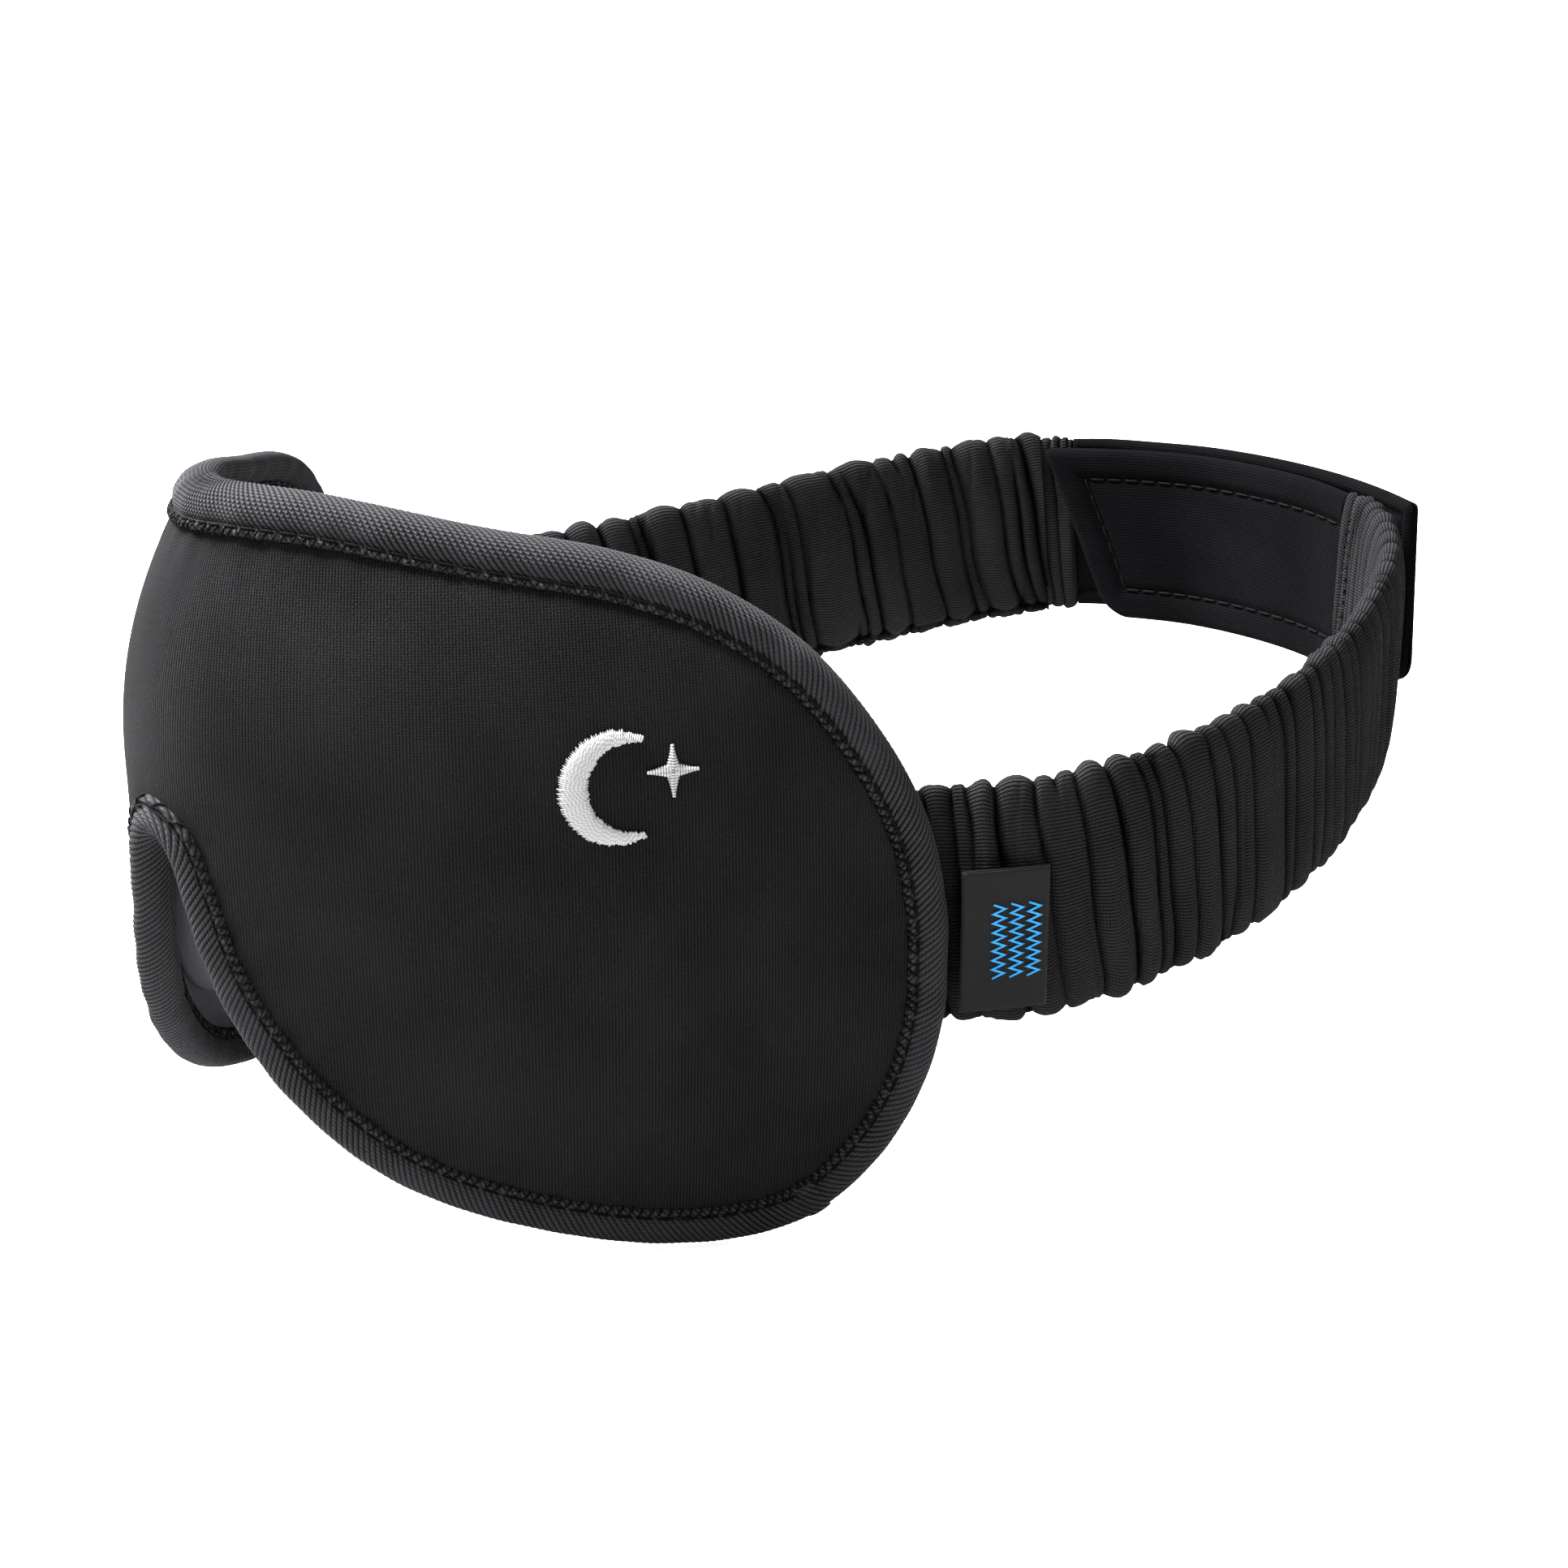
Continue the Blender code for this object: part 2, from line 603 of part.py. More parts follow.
def build():
    clear_scene()
    knit = principled("cover_knit", BLACK, 0.9)
    foam = principled("foam", (0.05, 0.05, 0.055), 0.95)
    lining = principled("lining_knit", (0.06, 0.06, 0.07), 0.9)
    tape = principled("binding_tape", (0.02, 0.021, 0.024), 0.8)
    thread = principled("black_thread", (0.015, 0.015, 0.017), 0.6)
    white = principled("white_thread", (0.85, 0.85, 0.85), 0.5)
    pad = principled("cushion_velour", (0.09, 0.085, 0.1), 0.95)
    sleeve_knit = principled("sleeve_knit", BLACK, 0.85)
    elastic = principled("elastic", (0.02, 0.02, 0.02), 0.7)
    tab = principled("tab_velour", BLACK, 0.95)
    hook = principled("hook_tape", (0.01, 0.01, 0.01), 0.6)
    loop = principled("loop_tape", (0.02, 0.02, 0.022), 1.0)
    satin = principled("label_satin", (0.008, 0.008, 0.01), 0.4)
    blue = principled("label_blue", (0.05, 0.4, 0.8), 0.5)

    mask_layers(knit, foam, lining)
    binding(tape, thread)
    binding_join(tape)
    eye_cushions(pad)
    embroidery(white)
    label(satin, blue)
    strap = [sleeve_knit, elastic, thread, tab, hook, loop]
    left_strap(strap)
    right_strap(strap)


build()
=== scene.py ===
# %% [markdown]
# # A contoured sleep mask with a gathered strap
#
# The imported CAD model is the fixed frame: it says where each part is and how it moves. This lesson
# builds the cloth, stitches and threads around it. Lengths below are millimetres unless a name
# ends in _M, because sewing is thought of in millimetres; `MM` turns them into metres.

# %% The frame
import math

import bpy
import numpy as np
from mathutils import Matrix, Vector
from mathutils.bvhtree import BVHTree


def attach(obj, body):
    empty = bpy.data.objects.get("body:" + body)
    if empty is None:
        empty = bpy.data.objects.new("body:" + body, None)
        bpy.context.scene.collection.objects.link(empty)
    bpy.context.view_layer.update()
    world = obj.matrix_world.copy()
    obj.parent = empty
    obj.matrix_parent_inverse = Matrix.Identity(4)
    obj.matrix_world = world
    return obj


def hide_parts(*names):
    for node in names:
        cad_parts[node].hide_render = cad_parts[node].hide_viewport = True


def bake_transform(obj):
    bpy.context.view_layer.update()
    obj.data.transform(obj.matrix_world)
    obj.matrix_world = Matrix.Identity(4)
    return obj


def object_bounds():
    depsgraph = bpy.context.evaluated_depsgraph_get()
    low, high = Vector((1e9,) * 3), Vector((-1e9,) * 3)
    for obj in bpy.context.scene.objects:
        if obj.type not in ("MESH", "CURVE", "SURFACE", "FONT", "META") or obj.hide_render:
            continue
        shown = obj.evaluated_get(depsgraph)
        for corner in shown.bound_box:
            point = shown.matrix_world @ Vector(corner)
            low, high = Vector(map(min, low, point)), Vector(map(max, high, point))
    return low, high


MM = 0.001
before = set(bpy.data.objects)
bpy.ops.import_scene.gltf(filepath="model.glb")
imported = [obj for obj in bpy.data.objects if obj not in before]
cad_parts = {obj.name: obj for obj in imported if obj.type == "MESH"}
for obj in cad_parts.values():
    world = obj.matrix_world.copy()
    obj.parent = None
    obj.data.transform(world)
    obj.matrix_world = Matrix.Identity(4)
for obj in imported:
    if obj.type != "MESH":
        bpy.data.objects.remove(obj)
CAD_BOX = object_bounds()
print("box in mm:", [tuple(round(v / MM) for v in corner) for corner in CAD_BOX])

# %% [markdown]
# ## Camera, light and floor
#
# The mask is seen from its wearer's left front and a little above, with a mild telephoto lens.
# Black cloth shows its shape only by the light that grazes it, so the light is broad: a large
# panel high on the left, a softer one on the right, and a bright room.

# %% The camera
CAMERA_AT = (302.7, -248.5, 138.8)
AZIMUTH, ELEVATION = 47.0, 19.5
LENS, SENSOR = 65.2, 36.0


def direction(azimuth, elevation):
    """The direction from the object to a viewer at this azimuth and height, in degrees."""
    a, e = math.radians(azimuth), math.radians(elevation)
    return Vector((math.sin(a) * math.cos(e), -math.cos(a) * math.cos(e), math.sin(e)))


camera = bpy.data.objects.new("camera", bpy.data.cameras.new("camera"))
bpy.context.scene.collection.objects.link(camera)
camera.location = Vector(CAMERA_AT) * MM
camera.rotation_euler = (-direction(AZIMUTH, ELEVATION)).to_track_quat("-Z", "Y").to_euler()
camera.data.lens = LENS
camera.data.sensor_width = SENSOR
camera.data.clip_start = 0.01
bpy.context.scene.camera = camera
bpy.context.scene.view_settings.view_transform = "Standard"

# %% A helper that wires node trees


def wire(tree, kind, inputs=None, **settings):
    """Adds a node, sets its properties, and links or sets its inputs."""
    node = tree.nodes.new(kind)
    for key, value in settings.items():
        setattr(node, key, value)
    for key, value in (inputs or {}).items():
        if isinstance(value, bpy.types.NodeSocket):
            tree.links.new(value, node.inputs[key])
        else:
            node.inputs[key].default_value = value
    return node


def sums(tree, operation, a, b=0.0, c=0.0):
    """A Math node's result."""
    return wire(tree, "ShaderNodeMath", {0: a, 1: b, 2: c}, operation=operation).outputs[0]


# %% The lights
MASK_MIDDLE = Vector((0.0, 0.02, 0.0))


def panel_light(name, azimuth, elevation, distance, size, power):
    light = bpy.data.lights.new(name, "AREA")
    light.shape = "SQUARE"
    light.size = size
    light.energy = power
    lamp = bpy.data.objects.new(name, light)
    bpy.context.scene.collection.objects.link(lamp)
    lamp.location = MASK_MIDDLE + distance * direction(azimuth, elevation)
    lamp.rotation_euler = (MASK_MIDDLE - lamp.location).to_track_quat("-Z", "Y").to_euler()


panel_light("key_light", -58, 56, 0.9, 0.5, 88)
panel_light("side_light", 70, 42, 1.0, 0.3, 4.0)
panel_light("back_light", 205, 55, 1.0, 0.5, 4)
world = bpy.data.worlds.new("bright_room")
world.use_nodes = True
room = world.node_tree
backdrop = wire(room, "ShaderNodeBackground", {"Color": (1, 1, 1, 1), "Strength": 1.0})
seen = wire(room, "ShaderNodeLightPath").outputs["Is Camera Ray"]
room.nodes["Background"].inputs["Color"].default_value = (1, 1, 1, 1)
ROOM_STRENGTH = 0.25
room.nodes["Background"].inputs["Strength"].default_value = ROOM_STRENGTH
room_light = room.nodes["Background"].outputs[0]
both = wire(room, "ShaderNodeMixShader", {0: seen, 1: room_light, 2: backdrop.outputs[0]})
room.links.new(both.outputs[0], room.nodes["World Output"].inputs["Surface"])
bpy.context.scene.world = world

# %% The floor
FLOOR_HALF_M = 6.0
floor_z = CAD_BOX[0].z - 1.5 * MM
floor_mesh = bpy.data.meshes.new("floor")
corners = [(-1, -1), (1, -1), (1, 1), (-1, 1)]
floor_points = [(FLOOR_HALF_M * x, FLOOR_HALF_M * y, floor_z) for x, y in corners]
floor_mesh.from_pydata(floor_points, [], [(0, 1, 2, 3)])
floor = bpy.data.objects.new("floor", floor_mesh)
bpy.context.scene.collection.objects.link(floor)
pale = bpy.data.materials.new("pale_floor")
pale.use_nodes = True
paint = pale.node_tree.nodes["Principled BSDF"]
paint.inputs["Base Color"].default_value = (0.45, 0.45, 0.45, 1)
paint.inputs["Roughness"].default_value = 0.9
paint.inputs["Specular IOR Level"].default_value = 0.1
paint.inputs["Emission Color"].default_value = (1, 1, 1, 1)
in_view = wire(pale.node_tree, "ShaderNodeLightPath").outputs["Is Camera Ray"]
GLOW_IN_VIEW, GLOW = 0.8, 0.1
glow = sums(pale.node_tree, "MULTIPLY_ADD", in_view, GLOW_IN_VIEW, GLOW)
pale.node_tree.links.new(glow, paint.inputs["Emission Strength"])
floor_mesh.materials.append(pale)

# %% [markdown]
# ## Weaves as node groups
#
# Cloth is a pattern of thread, so each pattern is made once as a shader node group and shared. A
# group reads a coordinate in millimetres, along the cloth and across it, which every piece below
# carries as its UV map, and gives back heights and masks. Images could do this too, but they
# have one size only; these formulas stay sharp however near the camera comes.

# %% Helpers for pattern groups


def pattern_group(name, numbers, outputs):
    """An empty node group: its tree, its input sockets by name, and its output node."""
    tree = bpy.data.node_groups.new(name, "ShaderNodeTree")
    tree.interface.new_socket("Cloth", in_out="INPUT", socket_type="NodeSocketVector")
    for key, value in numbers.items():
        socket = tree.interface.new_socket(key, in_out="INPUT", socket_type="NodeSocketFloat")
        socket.default_value = value
    for key in outputs:
        tree.interface.new_socket(key, in_out="OUTPUT", socket_type="NodeSocketFloat")
    given = tree.nodes.new("NodeGroupInput").outputs
    return tree, given, tree.nodes.new("NodeGroupOutput")


# %% Ribbed knit: columns of small V-shaped stitches
knit_group, given, out = pattern_group("ribbed knit", {"Rib": 0.45, "Stitch": 0.35}, ["Height"])
cloth = wire(knit_group, "ShaderNodeSeparateXYZ", {0: given["Cloth"]}).outputs
half_rib = sums(knit_group, "MULTIPLY", given["Rib"], 0.5)
across = sums(knit_group, "PINGPONG", cloth["Y"], half_rib)
across = sums(knit_group, "DIVIDE", across, half_rib)
stitches = sums(knit_group, "DIVIDE", cloth["X"], given["Stitch"])
slanted = sums(knit_group, "MULTIPLY_ADD", across, 0.6, stitches)
stitch = sums(knit_group, "SINE", sums(knit_group, "MULTIPLY", slanted, math.tau))
rounded = sums(knit_group, "SINE", sums(knit_group, "MULTIPLY", across, math.pi / 2))
knit_height = sums(knit_group, "MULTIPLY_ADD", stitch, 0.16, sums(knit_group, "MULTIPLY", rounded, 0.8))
knit_group.links.new(knit_height, out.inputs["Height"])

# %% Herringbone tape: slanted wales of small V-shaped stitches
TAPE_NUMBERS = {"Wale": 1.0, "Slant": -0.85, "Stitch": 0.45}
tape_group, given, out = pattern_group("herringbone tape", TAPE_NUMBERS, ["Height"])
cloth = wire(tape_group, "ShaderNodeSeparateXYZ", {0: given["Cloth"]}).outputs
leaning = sums(tape_group, "MULTIPLY_ADD", cloth["Y"], given["Slant"], cloth["X"])
wale = sums(tape_group, "DIVIDE", leaning, given["Wale"])
from_groove = sums(tape_group, "MULTIPLY", sums(tape_group, "PINGPONG", wale, 0.5), 2.0)
arch = sums(tape_group, "SINE", sums(tape_group, "MULTIPLY", from_groove, math.pi / 2))
crown = sums(tape_group, "POWER", arch, 1.3)
climb = sums(tape_group, "DIVIDE", cloth["Y"], given["Stitch"])
chevron = sums(tape_group, "MULTIPLY_ADD", from_groove, 0.55, climb)
stitch = sums(tape_group, "SINE", sums(tape_group, "MULTIPLY", chevron, math.tau))
stitch = sums(tape_group, "MULTIPLY_ADD", stitch, 0.3, 0.55)
tape_height = sums(tape_group, "MULTIPLY", crown, sums(tape_group, "MULTIPLY_ADD", stitch, 0.75, 0.3))
tape_group.links.new(tape_height, out.inputs["Height"])

# %% Twisted thread: plies that wind round each thread
ply_group, given, out = pattern_group("twisted thread", {"Twist": 0.5}, ["Height"])
cloth = wire(ply_group, "ShaderNodeSeparateXYZ", {0: given["Cloth"]}).outputs
turn = sums(ply_group, "ADD", sums(ply_group, "DIVIDE", cloth["X"], given["Twist"]), cloth["Y"])
ply = sums(ply_group, "SINE", sums(ply_group, "MULTIPLY", turn, math.tau))
ply_group.links.new(sums(ply_group, "MULTIPLY_ADD", ply, 0.5, 0.5), out.inputs["Height"])

# %% Nap and lint: fine fuzz, pale flecks, and slow changes of tone
nap_group, given, out = pattern_group("nap and lint", {"Fuzz": 4.0, "Drift": 0.06}, ["Fuzz", "Fleck", "Tone"])
fuzz, fleck, tone = (
    wire(nap_group, "ShaderNodeTexNoise", {"Vector": given["Cloth"], "Scale": given[scale], "Detail": detail})
    for scale, detail in (("Fuzz", 3.0), ("Fuzz", 1.0), ("Drift", 2.0))
)
pale_lint = wire(
    nap_group, "ShaderNodeMapRange", {"Value": fleck.outputs["Fac"], "From Min": 0.66, "From Max": 0.8}
)
nap_group.links.new(fuzz.outputs["Fac"], out.inputs["Fuzz"])
nap_group.links.new(pale_lint.outputs["Result"], out.inputs["Fleck"])
nap_group.links.new(tone.outputs["Fac"], out.inputs["Tone"])
print("node groups:", [group.name for group in bpy.data.node_groups])

# %% [markdown]
# ## Fabric materials
#
# All the fabrics are the same recipe with other numbers: a dark colour and a lighter one mixed by
# the weave's height, which is painted shade in the weave's grooves and painted light on its crowns,
# and by the drift of tone and stray lint, which are the cloth's own; roughness that follows the
# weave; a bump from the weave and the fuzz; and sheen, the soft glow that fibre ends give at a
# grazing angle.

# %% The fabric recipe
CLOTH_MAP = "cloth_mm"
TONE_SHARE, DARKER = 0.9, -0.35
GROOVE_ROUGHER = 0.12


def fabric(
    name, dark, light, group, pattern, depth, roughness, sheen,
    fuzz=0.3, lint=0.15, gloss=0.04, weave_shading=0.5,
):  # fmt: skip
    """A cloth material. pattern holds the group's numbers, depth is the weave's height in mm."""
    material = bpy.data.materials.new(name)
    material.use_nodes = True
    tree = material.node_tree
    shader = tree.nodes["Principled BSDF"]
    cloth_at = wire(tree, "ShaderNodeUVMap", uv_map=CLOTH_MAP).outputs["UV"]
    weave = wire(tree, "ShaderNodeGroup", node_tree=group)
    nap = wire(tree, "ShaderNodeGroup", node_tree=nap_group)
    for node in (weave, nap):
        tree.links.new(cloth_at, node.inputs["Cloth"])
    for key, value in pattern.items():
        weave.inputs[key].default_value = value
    height = weave.outputs["Height"]
    # Painted shade and light: the weave's grooves are coloured darker and its crowns lighter, by its height.
    woven = sums(tree, "MULTIPLY_ADD", height, weave_shading, DARKER)
    mix = sums(tree, "MULTIPLY_ADD", nap.outputs["Tone"], TONE_SHARE, woven)
    mix = sums(tree, "MULTIPLY_ADD", nap.outputs["Fleck"], lint, mix)
    colour = wire(
        tree, "ShaderNodeMix", {0: mix, 6: (*dark, 1), 7: (*light, 1)}, data_type="RGBA", clamp_factor=True
    )
    tree.links.new(colour.outputs[2], shader.inputs["Base Color"])
    groove = min(1.0, roughness + GROOVE_ROUGHER)
    rough = wire(tree, "ShaderNodeMapRange", {"Value": height, "To Min": groove, "To Max": roughness})
    tree.links.new(rough.outputs["Result"], shader.inputs["Roughness"])
    relief = sums(tree, "MULTIPLY_ADD", nap.outputs["Fuzz"], fuzz, height)
    bump = wire(tree, "ShaderNodeBump", {"Height": relief, "Strength": 1.0, "Distance": depth * MM})
    tree.links.new(bump.outputs["Normal"], shader.inputs["Normal"])
    shader.inputs["Specular IOR Level"].default_value = gloss
    shader.inputs["Sheen Weight"].default_value = sheen
    shader.inputs["Sheen Roughness"].default_value = 0.45
    return material


# The fold height on a sleeve's points, which the sleeve's material uses to paint shade into its valleys.
FOLD_MARK = "fold_height"
VALLEY, OPEN = 0.12, 0.7


def paint_valley_shade(material, shade=0.02):
    """Painted shade: cloth deep between two folds sees little light, so its colour is scaled down there by
    the fold height.
    """
    tree = material.node_tree
    colour = tree.nodes["Principled BSDF"].inputs["Base Color"]
    made = colour.links[0].from_socket
    high = wire(tree, "ShaderNodeAttribute", attribute_name=FOLD_MARK).outputs["Fac"]
    reach = {"Value": high, "From Min": VALLEY, "From Max": OPEN, "To Min": shade, "To Max": 1.0}
    light = wire(tree, "ShaderNodeMapRange", reach)
    dimmed = wire(tree, "ShaderNodeMix", {0: 1.0, 6: made}, data_type="RGBA", blend_type="MULTIPLY")
    tree.links.new(light.outputs["Result"], dimmed.inputs[7])
    tree.links.new(dimmed.outputs[2], colour)


# %% Each finish of the mask
RIBS = {"Rib": 0.42, "Stitch": 0.34}
WALE_PITCH = 0.95
cover_knit = fabric(
    "cover_knit", (0.0015, 0.0015, 0.0017), (0.0128, 0.0128, 0.0139),
    knit_group, RIBS, 0.2, 0.85, 0.012, fuzz=1.6,
    lint=1.2, weave_shading=1.0, gloss=0.035,
)  # fmt: skip
lining_knit = fabric(
    "lining_knit", (0.035, 0.0335, 0.04), (0.07, 0.067, 0.078),
    knit_group, {"Rib": 0.6, "Stitch": 0.5}, 0.05, 0.9, 0.1
)
cushion_velour = fabric(
    "cushion_velour", (0.045, 0.043, 0.052), (0.095, 0.09, 0.107),
    knit_group, {"Rib": 0.3, "Stitch": 0.3}, 0.08,
    0.95, 0.15, fuzz=1.6,
)  # fmt: skip
sleeve_knit = fabric(
    "sleeve_knit", (0.0025, 0.0025, 0.0027), (0.0205, 0.0202, 0.0217),
    knit_group, {"Rib": 0.5, "Stitch": 0.42}, 0.26,
    0.85, 0.004, fuzz=0.8, lint=0.6, weave_shading=1.1, gloss=0.012,
)  # fmt: skip
# Painted shade in the sleeve's valleys, from the fold height on its points.
paint_valley_shade(sleeve_knit)
binding_tape = fabric(
    "binding_tape", (0.0005, 0.0005, 0.0006), (0.034, 0.0345, 0.037),
    tape_group, {"Wale": WALE_PITCH}, 0.36,
    0.66, 0.01, fuzz=0.3, lint=0.1, weave_shading=1.6,
)  # fmt: skip
tab_velour = fabric(
    "tab_velour", (0.0006, 0.0006, 0.0008), (0.0046, 0.0045, 0.0053),
    knit_group, {"Rib": 0.5, "Stitch": 0.5}, 0.12, 0.95,
    0.004, fuzz=2.6, lint=1.4, gloss=0.015,
)  # fmt: skip
black_thread = fabric(
    "black_thread", (0.001, 0.001, 0.0012), (0.0085, 0.0086, 0.0092),
    ply_group, {"Twist": 0.45}, 0.05, 0.6, 0.0
)
white_thread = fabric(
    "white_thread", (0.28, 0.28, 0.28), (0.62, 0.62, 0.62),
    ply_group, {"Twist": 0.5}, 0.03, 0.45, 0.0, lint=0.0
)
elastic_weave = fabric(
    "elastic_weave", (0.012, 0.012, 0.012), (0.03, 0.03, 0.031),
    tape_group, {"Wale": 1.3, "Slant": 0.0}, 0.1, 0.6, 0.02
)
loop_pile = fabric(
    "loop_pile", (0.008, 0.008, 0.009), (0.025, 0.025, 0.027),
    knit_group, {"Rib": 0.7, "Stitch": 0.6}, 0.15, 0.95,
    0.1, fuzz=2.0,
)  # fmt: skip
label_satin = fabric(
    "label_satin", (0.0045, 0.0046, 0.005), (0.0115, 0.0118, 0.0126),
    knit_group, {"Rib": 0.16, "Stitch": 0.6}, 0.02,
    0.5, 0.01, fuzz=0.1, lint=0.05, gloss=0.09,
)  # fmt: skip
label_blue = fabric(
    "label_blue", (0.03, 0.27, 0.62), (0.07, 0.4, 0.78),
    ply_group, {"Twist": 0.4}, 0.03, 0.5, 0.0, lint=0.0
)
foam_skin = fabric(
    "foam_skin", (0.03, 0.03, 0.032), (0.06, 0.06, 0.064),
    knit_group, {"Rib": 0.9, "Stitch": 0.9}, 0.1, 0.95, 0.0,
    fuzz=2.0,
)  # fmt: skip
hook_nylon = fabric(
    "hook_nylon", (0.008, 0.008, 0.008), (0.02, 0.02, 0.021),
    ply_group, {"Twist": 1.0}, 0.01, 0.4, 0.0, lint=0.0
)
print("materials:", len(bpy.data.materials))

# %% [markdown]
# ## Swept meshes
#
# Almost everything on a mask is a ring of points swept along a line: tape round an edge, a tube
# of cloth, a thread. Curves with a bevel could do it, but they give the same ring everywhere, and
# cloth needs gathers and puckers. So one function takes a grid of points, ring after ring, and
# closes it into a solid that also carries its cloth coordinates.

# %% A grid of rings into a piece


def new_object(name, mesh, material):
    mesh.materials.append(material)
    obj = bpy.data.objects.new(name, mesh)
    bpy.context.scene.collection.objects.link(obj)
    return obj


def swept(name, rings, cloth, material, loop=False):
    """rings is (n, m, 3) in mm. cloth is (n + 1, m + 1, 2) for a loop, else (n, m + 1, 2)."""
    n, m = rings.shape[:2]
    i, j = np.meshgrid(np.arange(n if loop else n - 1), np.arange(m), indexing="ij")
    quads = [(i, j), (i + 1, j), (i + 1, j + 1), (i, j + 1)]
    faces = np.stack([(a % n) * m + b % m for a, b in quads], axis=-1).reshape(-1, 4)
    uvs = np.stack([cloth[a, b] for a, b in quads], axis=2).reshape(-1, 2)
    face_list = faces.tolist()
    if not loop:
        face_list.append(list(range(m)))
        face_list.append([(n - 1) * m + k for k in range(m - 1, -1, -1)])
        uvs = np.vstack([uvs, cloth[0, :m], cloth[-1, :m][::-1]])
    mesh = bpy.data.meshes.new(name)
    mesh.from_pydata((rings.reshape(-1, 3) * MM).tolist(), [], face_list)
    mesh.uv_layers.new(name=CLOTH_MAP).data.foreach_set("uv", uvs.astype(np.float32).ravel())
    face_outward(mesh)
    mesh.shade_smooth()
    return new_object(name, mesh, material)


def face_outward(mesh):
    """Turns a closed mesh's faces outward by the sign of its volume."""
    mesh.calc_loop_triangles()
    points = np.empty(len(mesh.vertices) * 3, np.float32)
    mesh.vertices.foreach_get("co", points)
    triangles = np.empty(len(mesh.loop_triangles) * 3, np.int32)
    mesh.loop_triangles.foreach_get("vertices", triangles)
    corners_of = points.reshape(-1, 3)[triangles.reshape(-1, 3)].astype(float)
    if np.linalg.det(corners_of - corners_of.mean(axis=(0, 1))).sum() < 0:
        mesh.flip_normals()


def measured(rings, loop=False):
    """Cloth coordinates in mm of a grid of rings: the length run along it and round it."""
    closed = np.concatenate([rings, rings[:, :1]], axis=1)
    if loop:
        closed = np.concatenate([closed, closed[:1]], axis=0)
    along = np.linalg.norm(np.diff(closed, axis=0), axis=2).mean(axis=1)
    around = np.linalg.norm(np.diff(closed, axis=1), axis=2).mean(axis=0)
    u = np.concatenate([[0], np.cumsum(along)])
    v = np.concatenate([[0], np.cumsum(around)])
    return np.stack(np.meshgrid(u, v, indexing="ij"), axis=-1)


# %% Threads: many short tubes in one mesh


def unit(vectors):
    return vectors / np.maximum(np.linalg.norm(vectors, axis=-1, keepdims=True), 1e-9)


def threads(name, paths, up, radius, material, sides=6, flatten=1.0):
    """One mesh of many tubes. paths is (t, k, 3) in mm and up the side each point faces."""
    t, k = paths.shape[:2]
    ahead = unit(np.gradient(paths, axis=1))
    side = unit(np.cross(ahead, up))
    lift = unit(np.cross(side, ahead))
    taper = np.ones(k)
    taper[[0, -1]] = 0.35
    turns = np.linspace(0, math.tau, sides, endpoint=False)
    wide, high = np.cos(turns)[:, None], flatten * np.sin(turns)[:, None]
    ring = radius * (wide * side[:, :, None] + high * lift[:, :, None])
    points = paths[:, :, None] + ring * taper[:, None, None]
    a, i, j = np.meshgrid(np.arange(t), np.arange(k - 1), np.arange(sides), indexing="ij")
    quads = [(i, j), (i + 1, j), (i + 1, (j + 1) % sides), (i, (j + 1) % sides)]
    faces = np.stack([(a * k + p) * sides + q for p, q in quads], axis=-1).reshape(-1, 4).tolist()
    starts = np.arange(t) * k * sides
    faces += [[s + q for q in range(sides - 1, -1, -1)] for s in starts]
    faces += [[s + (k - 1) * sides + q for q in range(sides)] for s in starts]
    steps = np.linalg.norm(np.diff(paths, axis=1), axis=2)
    run = np.concatenate([np.zeros((t, 1)), np.cumsum(steps, axis=1)], axis=1)
    offset = (np.arange(t) * 0.618 % 1)[:, None] * 5
    run = run + offset
    u = np.stack([run[a, i], run[a, i + 1], run[a, i + 1], run[a, i]], axis=-1)
    v = np.stack([j, j, j + 1, j + 1], axis=-1) / sides
    caps = np.zeros((2 * t * sides, 2))
    uvs = np.vstack([np.stack([u, v], axis=-1).reshape(-1, 2), caps])
    mesh = bpy.data.meshes.new(name)
    mesh.from_pydata((points.reshape(-1, 3) * MM).tolist(), [], faces)
    mesh.uv_layers.new(name=CLOTH_MAP).data.foreach_set("uv", uvs.astype(np.float32).ravel())
    face_outward(mesh)
    mesh.shade_smooth()
    return new_object(name, mesh, material)


# %% Smooth lines through a few points


def smooth_line(points, steps=16):
    """A Catmull-Rom curve through the points; one that starts on the nose line leaves it square."""
    p = np.array(points, float)
    before = p[1] * [-1, 1] if p[0, 0] == 0 else 2 * p[0] - p[1]
    p = np.vstack([before, p, 2 * p[-1] - p[-2]])
    t = np.linspace(0, 1, steps, endpoint=False)[:, None]
    parts = []
    for a, b, c, d in zip(p, p[1:], p[2:], p[3:]):
        bend = (2 * a - 5 * b + 4 * c - d) * t**2 + (3 * b - 3 * c + d - a) * t**3
        parts.append(0.5 * (2 * b + (c - a) * t + bend))
    return np.vstack(parts + [p[-2:-1]])


def run_of(line):
    return np.concatenate([[0], np.cumsum(np.linalg.norm(np.diff(line, axis=0), axis=1))])


def evenly(line, fractions):
    """Points of a line at these fractions of its length."""
    run = run_of(line)
    at = np.asarray(fractions) * run[-1]
    return np.stack([np.interp(at, run, line[:, k]) for k in range(line.shape[1])], axis=1)


def ease(value, low, high):
    """0 below low, 1 above high, and a smooth step between."""
    t = np.clip((value - low) / (high - low), 0, 1)
    return t * t * (3 - 2 * t)


# %% [markdown]
# ## The mask's pattern and the wall it is bent round
#
# A mask is cut flat and then bends round the face. So its outline is drawn flat, as a distance
# along from the nose and a height, and one function bends any flat point onto the wall: in plan a
# hyperbola, round at the nose and nearly straight to the temples, leaning back over the brow.
# Everything sewn to the mask is drawn in the same flat pattern and lands in the right place.

# %% The wall
TEMPLE_X, NOSE_Y, NOSE_RADIUS = 67.0, 75.7, 18.0
BROW_LINE, BROW_CURL, CHEEK_CURL = 18.0, 0.0075, 0.0003

